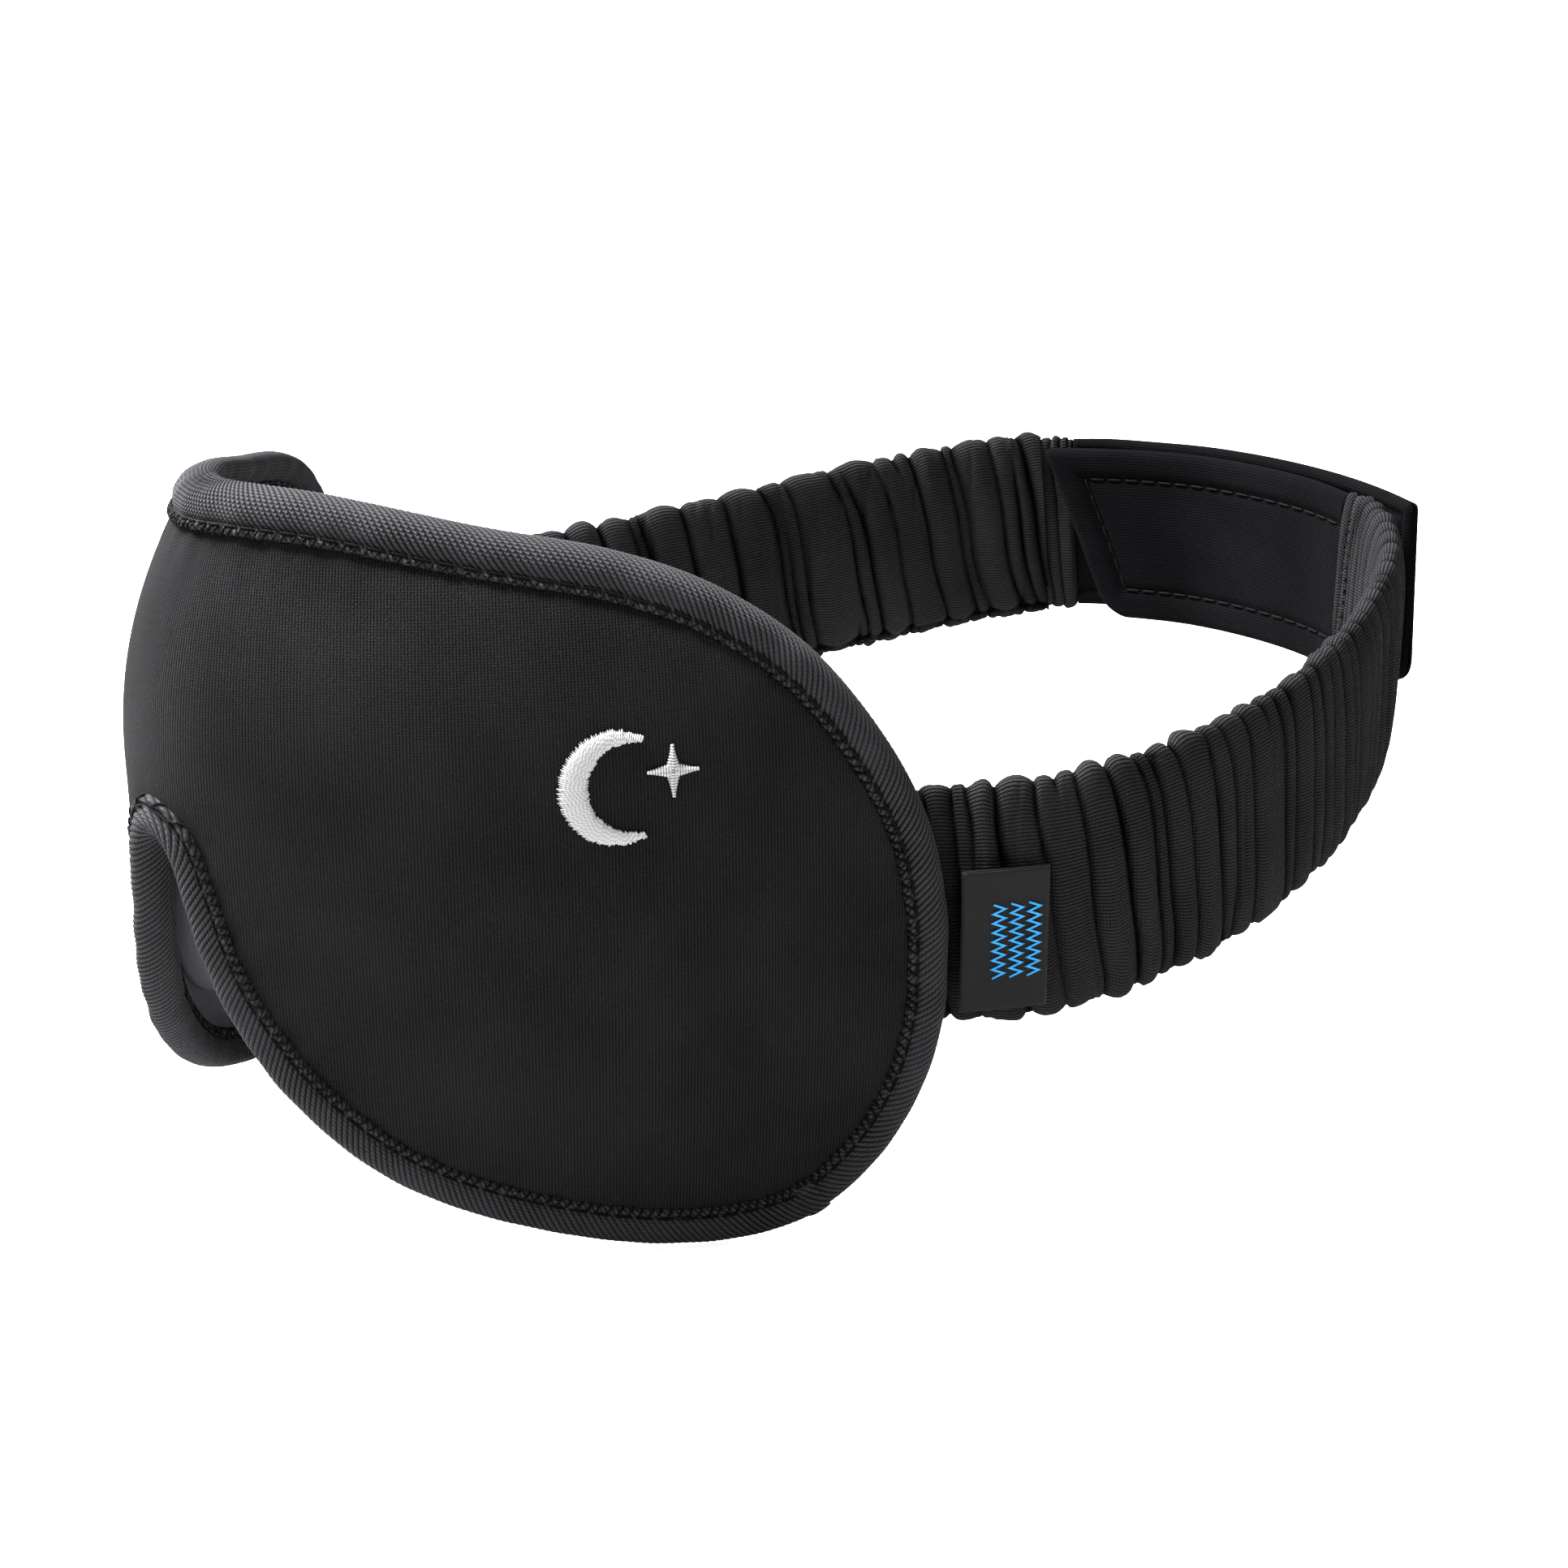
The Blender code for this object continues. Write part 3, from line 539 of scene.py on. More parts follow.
steep = NOSE_Y**2 / (TEMPLE_X**2 - 2 * NOSE_Y * NOSE_RADIUS)
soft = NOSE_RADIUS * steep
wall_x = np.linspace(0, TEMPLE_X + 8, 1500)
wall_y = np.sqrt(soft**2 + steep * wall_x**2) - soft - NOSE_Y
wall_run = run_of(np.stack([wall_x, wall_y], axis=1))
wall_slope = steep * wall_x / np.sqrt(soft**2 + steep * wall_x**2)


def on_wall(along, up, out):
    """The point this far along and up the wall and this far outward of it."""
    along, up, out = np.broadcast_arrays(*(np.asarray(v, float) for v in (along, up, out)))
    reach = np.abs(along)
    side = np.where(along < 0, -1.0, 1.0)
    slope = np.interp(reach, wall_run, wall_slope)
    size = np.hypot(slope, 1)
    lean = BROW_CURL * np.maximum(up - BROW_LINE, 0) ** 2 + CHEEK_CURL * np.maximum(BROW_LINE - up, 0) ** 2
    push = out - lean
    x = side * (np.interp(reach, wall_run, wall_x) + push * slope / size)
    return np.stack([x, np.interp(reach, wall_run, wall_y) - push / size, up], axis=-1)


# %% The outline
LOWER_EDGE = [
    (0, 11.8), (1.8, 11.1), (3.2, 8.8), (4.9, 3.6), (7.2, -3.9), (10.8, -11.7), (18.6, -22.8), (30.5, -33.4),
    (45, -40.2), (62, -44.6), (76, -45.2), (87, -42.2), (96, -34), (101.5, -24), (103.9, -14),
    (104.1, -7),
]  # fmt: skip
UPPER_EDGE = [
    (0, 56), (14, 55.8), (27, 54.6), (46, 51), (62, 48), (75, 43.3), (86.4, 35.5), (95.5, 24),
    (101.4, 12), (103.9, 0), (104.1, -7),
]  # fmt: skip
lower_line, upper_line = smooth_line(LOWER_EDGE), smooth_line(UPPER_EDGE)
half_outline = np.vstack([lower_line, upper_line[-2::-1]])
outline = np.vstack([half_outline, (half_outline * [-1, 1])[-2:0:-1]])
outline_run = run_of(np.vstack([outline, outline[:1]]))
EDGE_LENGTH = outline_run[-1]
print(f"the edge is {EDGE_LENGTH:.0f} mm long")


def edge_near(along, up):
    """How far inside the cut edge a flat point is, and how far round the edge that is."""
    points = np.stack([np.ravel(along), np.ravel(up)], axis=1)
    gap, place = np.empty(len(points)), np.empty(len(points))
    for start in range(0, len(points), 2000):
        part = slice(start, start + 2000)
        gaps = np.linalg.norm(points[part, None, :] - outline[None, :, :], axis=2)
        gap[part], place[part] = gaps.min(axis=1), outline_run[gaps.argmin(axis=1)]
    return gap.reshape(np.shape(along)), place.reshape(np.shape(along))


# %% A grid over the whole pattern
INSET = 1.7
HALF_COLUMNS, ROWS = 86, 56


def inset_line(line, inset):
    step = unit(np.gradient(line, axis=0))
    return line + inset * np.stack([-step[:, 1], step[:, 0]], axis=1)


k = np.linspace(0, 1, HALF_COLUMNS)
column_at = (0.62 * k + 0.38 * (1 - np.cos(math.pi * k)) / 2) * 0.982
low_edge = evenly(inset_line(lower_line, INSET), column_at)
high_edge = evenly(inset_line(upper_line[::-1], INSET)[::-1], column_at)
low_edge[0, 0] = high_edge[0, 0] = 0
low_edge = np.vstack([(low_edge * [-1, 1])[:0:-1], low_edge])
high_edge = np.vstack([(high_edge * [-1, 1])[:0:-1], high_edge])
share = (0.5 - 0.5 * np.cos(np.linspace(0, math.pi, ROWS)))[None, :]
flat_along = low_edge[:, :1] * (1 - share) + high_edge[:, :1] * share
flat_up = low_edge[:, 1:] * (1 - share) + high_edge[:, 1:] * share
inside, edge_place = edge_near(flat_along, flat_up)

# %% [markdown]
# ## The domed body: cover, foam and lining
#
# Over the eyes the mask is moulded out into a dome, so the lids can open behind it. A pressure
# simulation would puff it like a pillow; a moulded shell is smoother, so the dome is a formula:
# it rises with the distance from the bound rim, which stays flat, and is then averaged with its
# neighbours until no ridge is left. The stitching draws the cloth in, so small puckers fade in
# from the rim.

# %% The dome
DOME_HEIGHT, DOME_START, DOME_RUN = 7.8, 5.0, 45.0
dome = DOME_HEIGHT * np.sin(math.pi / 2 * np.clip((inside - DOME_START) / DOME_RUN, 0, 1))
SMOOTHING = 90
for _ in range(SMOOTHING):
    neighbours = dome[2:, 1:-1] + dome[:-2, 1:-1] + dome[1:-1, 2:] + dome[1:-1, :-2]
    dome[1:-1, 1:-1] = neighbours / 4
NOSE_SHARE = 0.25
dome *= ease(inside, 3.5, 7.5) * (NOSE_SHARE + (1 - NOSE_SHARE) * ease(np.abs(flat_along), 12, 46))
PUCKER, PUCKER_LENGTH = 0.16, 5.6
ripple = np.sin(math.tau * edge_place / PUCKER_LENGTH) + 0.6 * np.sin(math.tau * edge_place / 9.1 + 1)
pucker = PUCKER * ripple * np.exp(-np.maximum(inside - 5.2, 0) / 3.5) * ease(inside, 3.5, 5.5)


def mask_layer(name, front, back, material):
    """One layer of the mask: each column's front points upward, then its back points down."""
    rings = np.concatenate(
        [on_wall(flat_along, flat_up, front), on_wall(flat_along, flat_up, back)[:, ::-1]], axis=1
    )
    flat = np.stack([flat_up, flat_along], axis=-1)
    cloth = np.concatenate([flat, flat[:, ::-1], flat[:, :1]], axis=1)
    return swept(name, rings, cloth, material)


foam_swell = 2.0 * ease(inside, 6, 16)
cover = mask_layer("cover", dome + pucker, dome + pucker - 0.5, cover_knit)
foam = mask_layer("foam", dome - 0.85, dome - 1.75 - foam_swell, foam_skin)
lining = mask_layer("lining", dome - 2.0 - foam_swell, dome - 2.6 - foam_swell - 0.4 * pucker, lining_knit)
for piece, node in ((cover, "mask_front_cover"), (foam, "mask_foam_core"), (lining, "mask_lining")):
    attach(piece, "mask")
    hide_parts(node)

# %% [markdown]
# ## The binding
#
# A knitted tape is folded over the raw edge and sewn through. It is a sweep round the outline of
# one folded profile, puffed in the middle, pulled down along the stitches and bumpy along its
# overlocked inner edge. The coarse slanted ribs are real geometry, so they break the outline; the
# finer herringbone is in the tape's material.

# %% The tape's folded profile, as (inward of the edge, outward of the rim)
FRONT_TAPE = [
    (5.3, 0.12), (4.95, 0.85), (4.5, 0.95), (4.05, 0.62), (3.3, 1.1), (2.1, 1.42), (0.9, 1.15), (0.05, 0.2),
]  # fmt: skip
TAPE_MIDDLE = -1.3
back_tape = [(a, 2 * TAPE_MIDDLE - t) for a, t in FRONT_TAPE[::-1]]
outer_profile = smooth_line([*FRONT_TAPE, (-0.3, TAPE_MIDDLE), *back_tape], steps=3)
INNER_FOLD = [(5.2, -2.72), (1.0, -2.85), (0.75, TAPE_MIDDLE), (1.0, 0.25), (5.2, 0.02)]
tape_profile = np.vstack([outer_profile, INNER_FOLD])
OUTER_POINTS = len(outer_profile)

# %% Sweep it round the edge
STATION = 0.2
stations = int(EDGE_LENGTH / STATION)
ring_line = np.vstack([outline, outline[:1]])
edge_run = np.arange(stations) * EDGE_LENGTH / stations
edge_points = evenly(ring_line, np.arange(stations) / stations)
step = unit(np.roll(edge_points, -6, axis=0) - np.roll(edge_points, 6, axis=0))
edge_inward = np.stack([-step[:, 1], step[:, 0]], axis=1)


def round_edge(inward, outward, at=slice(None)):
    """Points this far inward of the edge and outward of the rim, at stations round the edge."""
    flat = edge_points[at, None, :] + inward[..., None] * edge_inward[at, None, :]
    return on_wall(flat[..., 0], flat[..., 1], outward)


def wander(run, seed, lengths, around=EDGE_LENGTH):
    """A smooth random line round the edge, from waves that close on themselves."""
    random = np.random.default_rng(seed)
    total = np.zeros_like(run, dtype=float)
    for length in lengths:
        waves = max(1, round(around / length))
        total += np.sin(math.tau * (waves * run / around + random.random())) * random.uniform(0.6, 1)
    return total / len(lengths)


RIB_SLANT, RIB_HEIGHT = -0.85, 0.085
ribs = round(EDGE_LENGTH / WALE_PITCH)
profile_run = run_of(tape_profile)
bumps = wander(edge_run, 3, (1.3, 1.9, 2.7, 4.3))
puff = 1 + 0.1 * wander(edge_run, 4, (7, 11, 19))
lip = np.exp(-(((tape_profile[:, 0] - 4.75) / 0.45) ** 2))
lip[OUTER_POINTS:] = 0
inward = tape_profile[None, :, 0] + 0.3 * lip * bumps[:, None]
middle_away = tape_profile[None, :, 1] - TAPE_MIDDLE
outward = TAPE_MIDDLE + middle_away * np.where(np.arange(len(tape_profile)) < OUTER_POINTS, puff[:, None], 1)
outward += 0.3 * lip * bumps[:, None] * np.sign(middle_away)
rib_count = ribs * edge_run[:, None] / EDGE_LENGTH + RIB_SLANT * profile_run[None, :] / WALE_PITCH
rib = -np.cos(math.tau * rib_count)
rib_on = np.where(np.arange(len(tape_profile)) < OUTER_POINTS, ease(4.4 - tape_profile[:, 0], 0, 0.8), 0)
inward -= RIB_HEIGHT * rib * rib_on * np.exp(-np.maximum(tape_profile[:, 0], 0) / 1.2)
outward += RIB_HEIGHT * rib * rib_on * np.sign(middle_away) * ease(tape_profile[:, 0], 0, 1.2)
tape_rings = round_edge(inward, outward)
u = np.append(edge_run, EDGE_LENGTH) * ribs * WALE_PITCH / EDGE_LENGTH
v = np.append(profile_run, profile_run[-1] + 2)
tape_cloth = np.stack(np.meshgrid(u, v, indexing="ij"), axis=-1)
binding = swept("binding", tape_rings, tape_cloth, binding_tape, loop=True)
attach(binding, "mask")
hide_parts("edge_binding")
print(f"tape: {stations} stations of {len(tape_profile)} points")

# %% [markdown]
# ## Stitches along the binding
#
# A sewing machine leaves a dashed line of lockstitches in a groove, and the overlocker throws a
# small loop over the tape's inner edge every millimetre or so. Each stitch is its own short tube
# of thread; they are joined in one mesh for each side.

# %% Lockstitches and loops
STITCH_LENGTH, STITCH_GAP, LOOP_PITCH = 2.5, 0.6, 1.45


def along_edge(run, inward, outward):
    """Points at these distances round the edge, with the inward and outward places given."""
    at = np.round(np.asarray(run) / EDGE_LENGTH * stations).astype(int) % stations
    flat = edge_points[at] + np.asarray(inward)[..., None] * edge_inward[at]
    return on_wall(flat[..., 0], flat[..., 1], outward)


def binding_stitches(name, side):
    """side 1 is the front, -1 the lining side."""
    def level(height):
        return TAPE_MIDDLE + side * (height - TAPE_MIDDLE)

    count = round(EDGE_LENGTH / (STITCH_LENGTH + STITCH_GAP))
    starts = np.arange(count) * EDGE_LENGTH / count
    share_along = np.linspace(0, 1, 7)
    runs = starts[:, None] + STITCH_LENGTH * share_along
    sag = 0.88 + 0.1 * np.sin(math.pi * share_along) + 0 * runs
    lock = along_edge(runs, np.full_like(runs, 4.08), level(sag))
    loops = round(EDGE_LENGTH / LOOP_PITCH)
    places = np.arange(loops) * EDGE_LENGTH / loops
    jitter = 0.25 * wander(places, 8, (1.1, 1.7, 2.9))[:, None]
    over = np.linspace(0, 1, 7)
    loop_in = 4.25 + 1.25 * over + 0.1 * jitter
    loop_up = 0.72 + 0.52 * np.sin(math.pi * np.clip(over * 1.05, 0, 1)) ** 0.7 - 0.55 * over + 0.1 * jitter
    loop = along_edge(places[:, None] + 0.9 * over + jitter, loop_in, level(loop_up))
    paths = np.vstack([lock, loop])
    lifted = np.vstack([
        along_edge(runs, np.full_like(runs, 4.08), level(sag + 1)),
        along_edge(places[:, None] + 0.9 * over + jitter, loop_in, level(loop_up + 1)),
    ])  # fmt: skip
    piece = threads(name, paths, lifted - paths, 0.2, black_thread)
    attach(piece, "mask")
    return piece


front_stitches = binding_stitches("binding_stitches_front", 1)
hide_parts("binding_seam_front")
back_stitches = binding_stitches("binding_stitches_back", -1)
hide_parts("binding_seam_back")

# %% [markdown]
# ## Where the tape's ends meet
#
# The tape starts and ends low on the wearer's left half, with its end turned under across the
# rim. It is a small flap bent over the binding with three tacking stitches.

# %% The tape's end
JOIN_RUN = 116.0
FLAP_LENGTH = 3.4
flap_at = JOIN_RUN + np.linspace(-FLAP_LENGTH / 2, FLAP_LENGTH / 2, 22)
across_tape = [(4.9, 1.25), (4.1, 1.22), (3.2, 1.62), (2.1, 1.9), (0.9, 1.62), (0.1, 0.85), (-0.15, 0.2)]
flap_profile = smooth_line(across_tape, steps=4)
crown = np.clip(1 - np.abs(np.linspace(-1, 1, 22)) ** 4, 0, 1)[:, None]
flap_front = flap_profile[None, :, 1] - 0.3 + 0.42 * crown
flap_in = np.broadcast_to(flap_profile[None, :, 0], flap_front.shape)
front = along_edge(flap_at[:, None] + 0 * flap_in, flap_in, flap_front)
back = along_edge(flap_at[:, None] + 0 * flap_in, flap_in, flap_front - 0.5 * crown - 0.03)
flap_rings = np.concatenate([front, back[:, ::-1]], axis=1)
tape_end = swept("tape_end", flap_rings, measured(flap_rings), binding_tape)
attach(tape_end, "mask")
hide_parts("binding_join")

# %% [markdown]
# ## Eye cushions
#
# Behind each dome a soft ring keeps light out and pressure off the eye. A torus would be too even:
# the ring is oval, flat where it is glued to the lining, round towards the face, and it dips
# gently between the places where it is stitched down.

# %% The cushions
CUSHION_CENTRE, CUSHION_HALF = (54.0, 3.0), (30.5, 24.5)
CUSHION_RIB, CUSHION_DEPTH, CUSHION_STEPS = 7.3, 7.0, 160
lining_back = (dome - 2.6 - foam_swell).ravel()
pattern_points = np.stack([flat_along.ravel(), flat_up.ravel()], axis=1)


def lining_level(along, up):
    """The lining's back at flat points, as a soft average of the grid near each."""
    flat = np.stack([along.ravel(), up.ravel()], axis=1)
    level = np.empty(len(flat))
    for start in range(0, len(flat), 500):
        gaps = ((flat[start : start + 500, None, :] - pattern_points[None, :, :]) ** 2).sum(axis=2)
        weight = np.exp(-gaps / 4.0) + 1e-12
        level[start : start + 500] = (weight * lining_back).sum(axis=1) / weight.sum(axis=1)
    return level.reshape(along.shape)


def eye_cushion(name, side, node):
    turn = np.linspace(0, math.tau, CUSHION_STEPS, endpoint=False)[:, None]
    round_top = np.linspace(0, math.pi, 17)
    rib_across = np.concatenate([np.cos(round_top), np.linspace(-0.9, 0.9, 7)])
    rib_depth = np.concatenate([np.sin(round_top) ** 0.8, np.zeros(7)])
    dimple = 1 - 0.05 * np.cos(12 * turn) ** 8 + 0.02 * np.sin(5 * turn + side)
    width = CUSHION_RIB * rib_across[None, :] * (0.99 + 0.01 * np.sin(7 * turn))
    along = CUSHION_CENTRE[0] + (CUSHION_HALF[0] + width) * np.cos(turn)
    up = CUSHION_CENTRE[1] + (CUSHION_HALF[1] + width) * np.sin(turn)
    out = lining_level(along, up) - 0.5 - CUSHION_DEPTH * rib_depth[None, :] * dimple
    rings = on_wall(side * along, up, out)
    piece = swept(name, rings, measured(rings, loop=True), cushion_velour, loop=True)
    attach(piece, "mask")
    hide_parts(node)
    return piece


eye_cushion("left_cushion", 1, "left_eye_cushion")
eye_cushion("right_cushion", -1, "right_eye_cushion")

# %% [markdown]
# ## The embroidery
#
# The emblem is a crescent moon and a small star in satin stitch: many threads laid side by side
# across the shape, each arched a little. Their feet are found by dropping onto the cover, so the
# stitches follow the dome. A textured patch would be quicker, and would look printed.

# %% Satin stitches on the cover
cover_tree = BVHTree.FromObject(cover, bpy.context.evaluated_depsgraph_get())


def on_cover(along, up, height):
    """Points this far above the cover's front, in mm."""
    points = on_wall(along, up, 25.0)
    ahead = unit(points - on_wall(along, up, 0.0))
    found = points.copy()
    for index in np.ndindex(points.shape[:-1]):
        hit = cover_tree.ray_cast(Vector(points[index] * MM), Vector(-ahead[index]), 0.04)
        found[index] = np.array(hit[0]) / MM
    return found + ahead * np.asarray(height)[..., None]


def satin(name, starts, ends, node, rise=0.55):
    """Threads from each start to each end, in the flat pattern, arched over the cover."""
    t = np.linspace(0, 1, 9)[None, :, None]
    flat = starts[:, None] * (1 - t) + ends[:, None] * t
    arch = 0.12 + rise * np.sin(math.pi * t[..., 0]) ** 0.5 + 0 * flat[..., 0]
    paths = on_cover(flat[..., 0], flat[..., 1], arch)
    up = paths - on_cover(flat[..., 0], flat[..., 1], arch - 1)
    piece = threads(name, paths, up, 0.17, white_thread)
    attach(piece, "mask")
    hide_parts(node)


MOON_CENTRE, MOON_RADIUS, MOON_THICK = np.array([60.7, 21.3]), 7.1, 3.2
THREAD_PITCH = 0.29
horns = np.radians([60, 300])
turn = np.linspace(*horns, int(MOON_RADIUS * (horns[1] - horns[0]) / THREAD_PITCH))
thick = 0.5 + MOON_THICK * np.sin(math.pi * (turn - horns[0]) / (horns[1] - horns[0])) ** 0.8
ray = np.stack([np.cos(turn), np.sin(turn)], axis=1)
fray = np.random.default_rng(5).uniform(-0.16, 0.16, (2, len(turn), 1))
moon_outer = MOON_CENTRE + ray * (MOON_RADIUS + fray[0])
moon_inner = MOON_CENTRE + ray * (MOON_RADIUS - thick[:, None] + fray[1])
satin("stitched_moon", moon_outer, moon_inner, "embroidered_crescent")

STAR_CENTRE, STAR_RADIUS = np.array([67.9, 23.1]), 3.1
arm = np.linspace(0.0, STAR_RADIUS, int(STAR_RADIUS / THREAD_PITCH))
arm_half = 0.12 + 0.95 * (1 - arm / STAR_RADIUS) ** 1.3
star_starts, star_ends = [], []
for quarter in range(4):
    a = quarter * math.pi / 2
    ahead_of, beside = np.array([math.cos(a), math.sin(a)]), np.array([-math.sin(a), math.cos(a)])
    star_starts.append(STAR_CENTRE + arm[:, None] * ahead_of + arm_half[:, None] * beside)
    star_ends.append(STAR_CENTRE + arm[:, None] * ahead_of - arm_half[:, None] * beside)
satin("stitched_star", np.vstack(star_starts), np.vstack(star_ends), "embroidered_star", rise=0.4)
print("moon threads:", len(turn))

# %% [markdown]
# ## The strap's two routes
#
# Each half of the strap leaves the mask behind its rim, bows out round the side of the head and
# climbs a little to the back. A route gives the point at any distance along, any distance across
# the strap's width and any distance out of it, so sleeves, tabs, seams and elastic all share it.

# %% Routes
STRAP_RISE, STRAP_LEVEL = 0.11, -2.0
ROOT_ALONG, ROOT_DEPTH = 99.0, 7.0
LEFT_ROUTE = [
    (67.6, 10), (72, 17), (75, 25), (76.6, 35), (77, 46), (76, 57), (73.6, 68.5), (69, 83),
    (62.8, 97), (55.5, 110), (47.5, 120), (39.5, 127), (32, 131), (22, 134), (10, 135),
    (-2, 134), (-12, 131), (-20, 127.3), (-28, 122.6),
]  # fmt: skip
RIGHT_ROUTE = [
    (-65.5, 11), (-67, 20), (-66, 32), (-62.5, 44), (-58, 55), (-54.5, 66), (-51.5, 78),
    (-48, 90), (-44, 101), (-40, 111), (-35.5, 120), (-30, 127), (-22.5, 132.6), (-13.5, 136),
    (-2.7, 138.9), (10, 139.9), (22.5, 139), (34, 136.4), (47, 131.6),
]  # fmt: skip


class Route:
    """A strap's centre line and the directions across and out of it."""

    def __init__(self, plan_points, side, rise=STRAP_RISE, level=STRAP_LEVEL):
        flat = smooth_line(plan_points)
        self.line = np.column_stack([flat, level + rise * flat[:, 1]])
        self.run = run_of(self.line)
        self.length = self.run[-1]
        self.side = side

    def where(self, u):
        return np.stack([np.interp(u, self.run, self.line[:, k]) for k in range(3)], axis=-1)

    def frame_at(self, u):
        """The centre, the direction across and the direction out, at each distance."""
        ahead = unit(self.where(np.minimum(u + 2.5, self.length)) - self.where(np.maximum(u - 2.5, 0)))
        out = unit(self.side * np.stack([ahead[..., 1], -ahead[..., 0], 0 * ahead[..., 0]], axis=-1))
        across = np.cross(out, ahead)
        return self.where(u), across * np.sign(across[..., 2:]), out

    def point(self, u, across, out):
        u, across, out = np.broadcast_arrays(*(np.asarray(x, float) for x in (u, across, out)))
        centre, width, outward = self.frame_at(u)
        return centre + across[..., None] * width + out[..., None] * outward

    def at_x(self, x):
        """How far along the line comes to this x behind the head."""
        behind = np.where(self.line[:, 1] > 100)[0]
        return self.run[behind[int(np.argmin(np.abs(self.line[behind, 0] - x)))]]


def strap_route(points, side):
    root = on_wall(side * np.array([ROOT_ALONG, ROOT_ALONG + 5.5]), np.zeros(2), -ROOT_DEPTH)
    return Route([tuple(p[:2]) for p in root] + points, side)


left_route, right_route = strap_route(LEFT_ROUTE, 1), strap_route(RIGHT_ROUTE, -1)
left_sleeve_end, right_sleeve_end = left_route.at_x(37.0), right_route.at_x(-30.5)
print(f"sleeves {left_sleeve_end:.0f} and {right_sleeve_end:.0f} mm long when gathered")

# %% [markdown]
# ## Gathered sleeves
#
# A knit tube more than twice as long as the elastic inside it bunches into rounded folds that run
# across the strap. Cloth simulation can make them, but slowly and never the same number twice.
# Here each valley between two folds is a line across the tube that wanders, leans, and fades in
# and out; between two valleys the cloth arches up. The same height also pushes the tube's two
# edges out, which gives the scalloped outline.

# %% The folds
SLEEVE_HALF, SLEEVE_THICK, SLEEVE_WALL = 16.7, 1.5, 0.5
FOLD_POINTS = 84
PUFFS = ([2.2, 3.0, 3.7, 4.5, 5.2], [0.22, 0.26, 0.24, 0.18, 0.1], 0.2)
PLEATS = ([1.4, 1.9, 3.0, 5.0, 6.6], [0.26, 0.22, 0.18, 0.2, 0.14], 0.4)
RUFFLES = ([1.2, 1.6, 2.2], [0.4, 0.35, 0.25], 0.3)


def valley_lines(length, gaps, random):
    places = [-3.0]
    while places[-1] < length + 3:
        wider = 1 + 0.35 * max(places[-1], 0) / length
        places.append(places[-1] + wider * random.choice(gaps[0], p=gaps[1]))
    return np.array(places)


def folds(u, turn, length, random, lean, gaps):
    """Height from 0 to about 2 mm of the gathered cloth, over (along, around)."""
    places = valley_lines(length, gaps, random)
    count = len(places)
    shift = random.uniform(0, math.tau, (5, count))
    size = random.uniform(0.3, 1.0, (3, count))
    depth_base = random.uniform(0.85, 1.2, count)
    merges = random.random(count) < gaps[2]
    peak = random.uniform(0.3, 0.62, count)
    plump = random.uniform(0.8, 1.15, count)
    height = np.zeros((len(u), len(turn)))
    for j, angle in enumerate(turn):
        line = places - lean * np.cos(angle) + 0.4 * np.sin(2 * angle + places / 9)
        line = line + 0.45 * size[0] * np.sin(angle + shift[0]) + 0.3 * size[1] * np.sin(2 * angle + shift[1])
        line = np.sort(line + 0.14 * size[2] * np.sin(5 * angle + shift[2]))
        open_here = 0.5 + 0.5 * np.sin(angle + shift[3])
        depth = depth_base * np.where(merges, ease(open_here, 0.25, 0.75), 0.8 + 0.2 * open_here)
        gap = np.maximum(np.diff(line), 0.5)
        crest = np.clip(0.35 + 0.4 * gap, 0.8, 2.0) * plump[1:]
        crest = crest * (0.92 + 0.08 * np.sin(2 * angle + shift[4, 1:]))
        left = np.clip(np.searchsorted(line, u) - 1, 0, count - 2)
        x = np.clip((u - line[left]) / gap[left], 0, 1)
        top = peak[left]
        rise = np.where(x < top, x / top, (1 - x) / (1 - top))
        arch = (1 - (1 - rise) ** 2.2) ** 0.7
        near_depth = np.where(x < top, depth[left], depth[left + 1])
        before, after = crest[np.maximum(left - 1, 0)], crest[np.minimum(left + 1, count - 2)]
        level_here = np.where(x < top, before, after)
        meet = (level_here + crest[left]) / 2
        top_height = meet + (crest[left] - meet) * ease(rise, 0, 1)
        height[:, j] = top_height * (1 - near_depth * (1 - arch))
    return height


def creases(u, turn, random, count):
    """Short fine wrinkles pressed into the folds, over (along, around)."""
    total = np.zeros((len(u), len(turn)))
    for place, angle, slope, width in zip(
        random.uniform(0, u[-1], count), random.uniform(0, math.tau, count), random.normal(0, 1.6, count),
        random.uniform(0.3, 0.7, count),
    ):  # fmt: skip
        away = (turn - angle + math.pi) % math.tau - math.pi
        fade = np.exp(-((away / 0.4) ** 2))
        total += fade * np.exp(-np.abs((u[:, None] - place - slope * away) / width) ** 1.5)
    return 0.34 * total


def sleeve_height(u, turn, length, random, lean, gaps):
    """The folds, with a seam and a finer ruffle along the lower edge of the face by the head."""
    main = folds(u, turn, length, random, lean, gaps) - creases(u, turn, random, int(length * 1.3))
    ruffle = folds(u, turn, length, random, 0.3, RUFFLES)
    low_edge = ease(-np.cos(turn), 0.86, 0.95) * (np.sin(turn) < 0.12)
    seam = np.exp(-(((np.cos(turn) + 0.87) / 0.05) ** 2)) * (np.sin(turn) < 0)
    return np.maximum(main * (1 - low_edge) + ruffle * low_edge - 0.9 * seam, 0)


def sleeve_skin(route, u, turn, height, body, wall):
    """The tube's cloth at this depth under its outer face, as (around, along)."""
    cos, sin = np.cos(turn)[None, :], np.sin(turn)[None, :]
    across = np.sign(cos) * np.abs(cos) ** 0.62 * (SLEEVE_HALF - 0.9 + 0.75 * height - wall)
    out = np.sign(sin) * np.abs(sin) ** 0.75 * (body + 0.85 * height - wall)
    return route.point(u[:, None], across, out).swapaxes(0, 1)


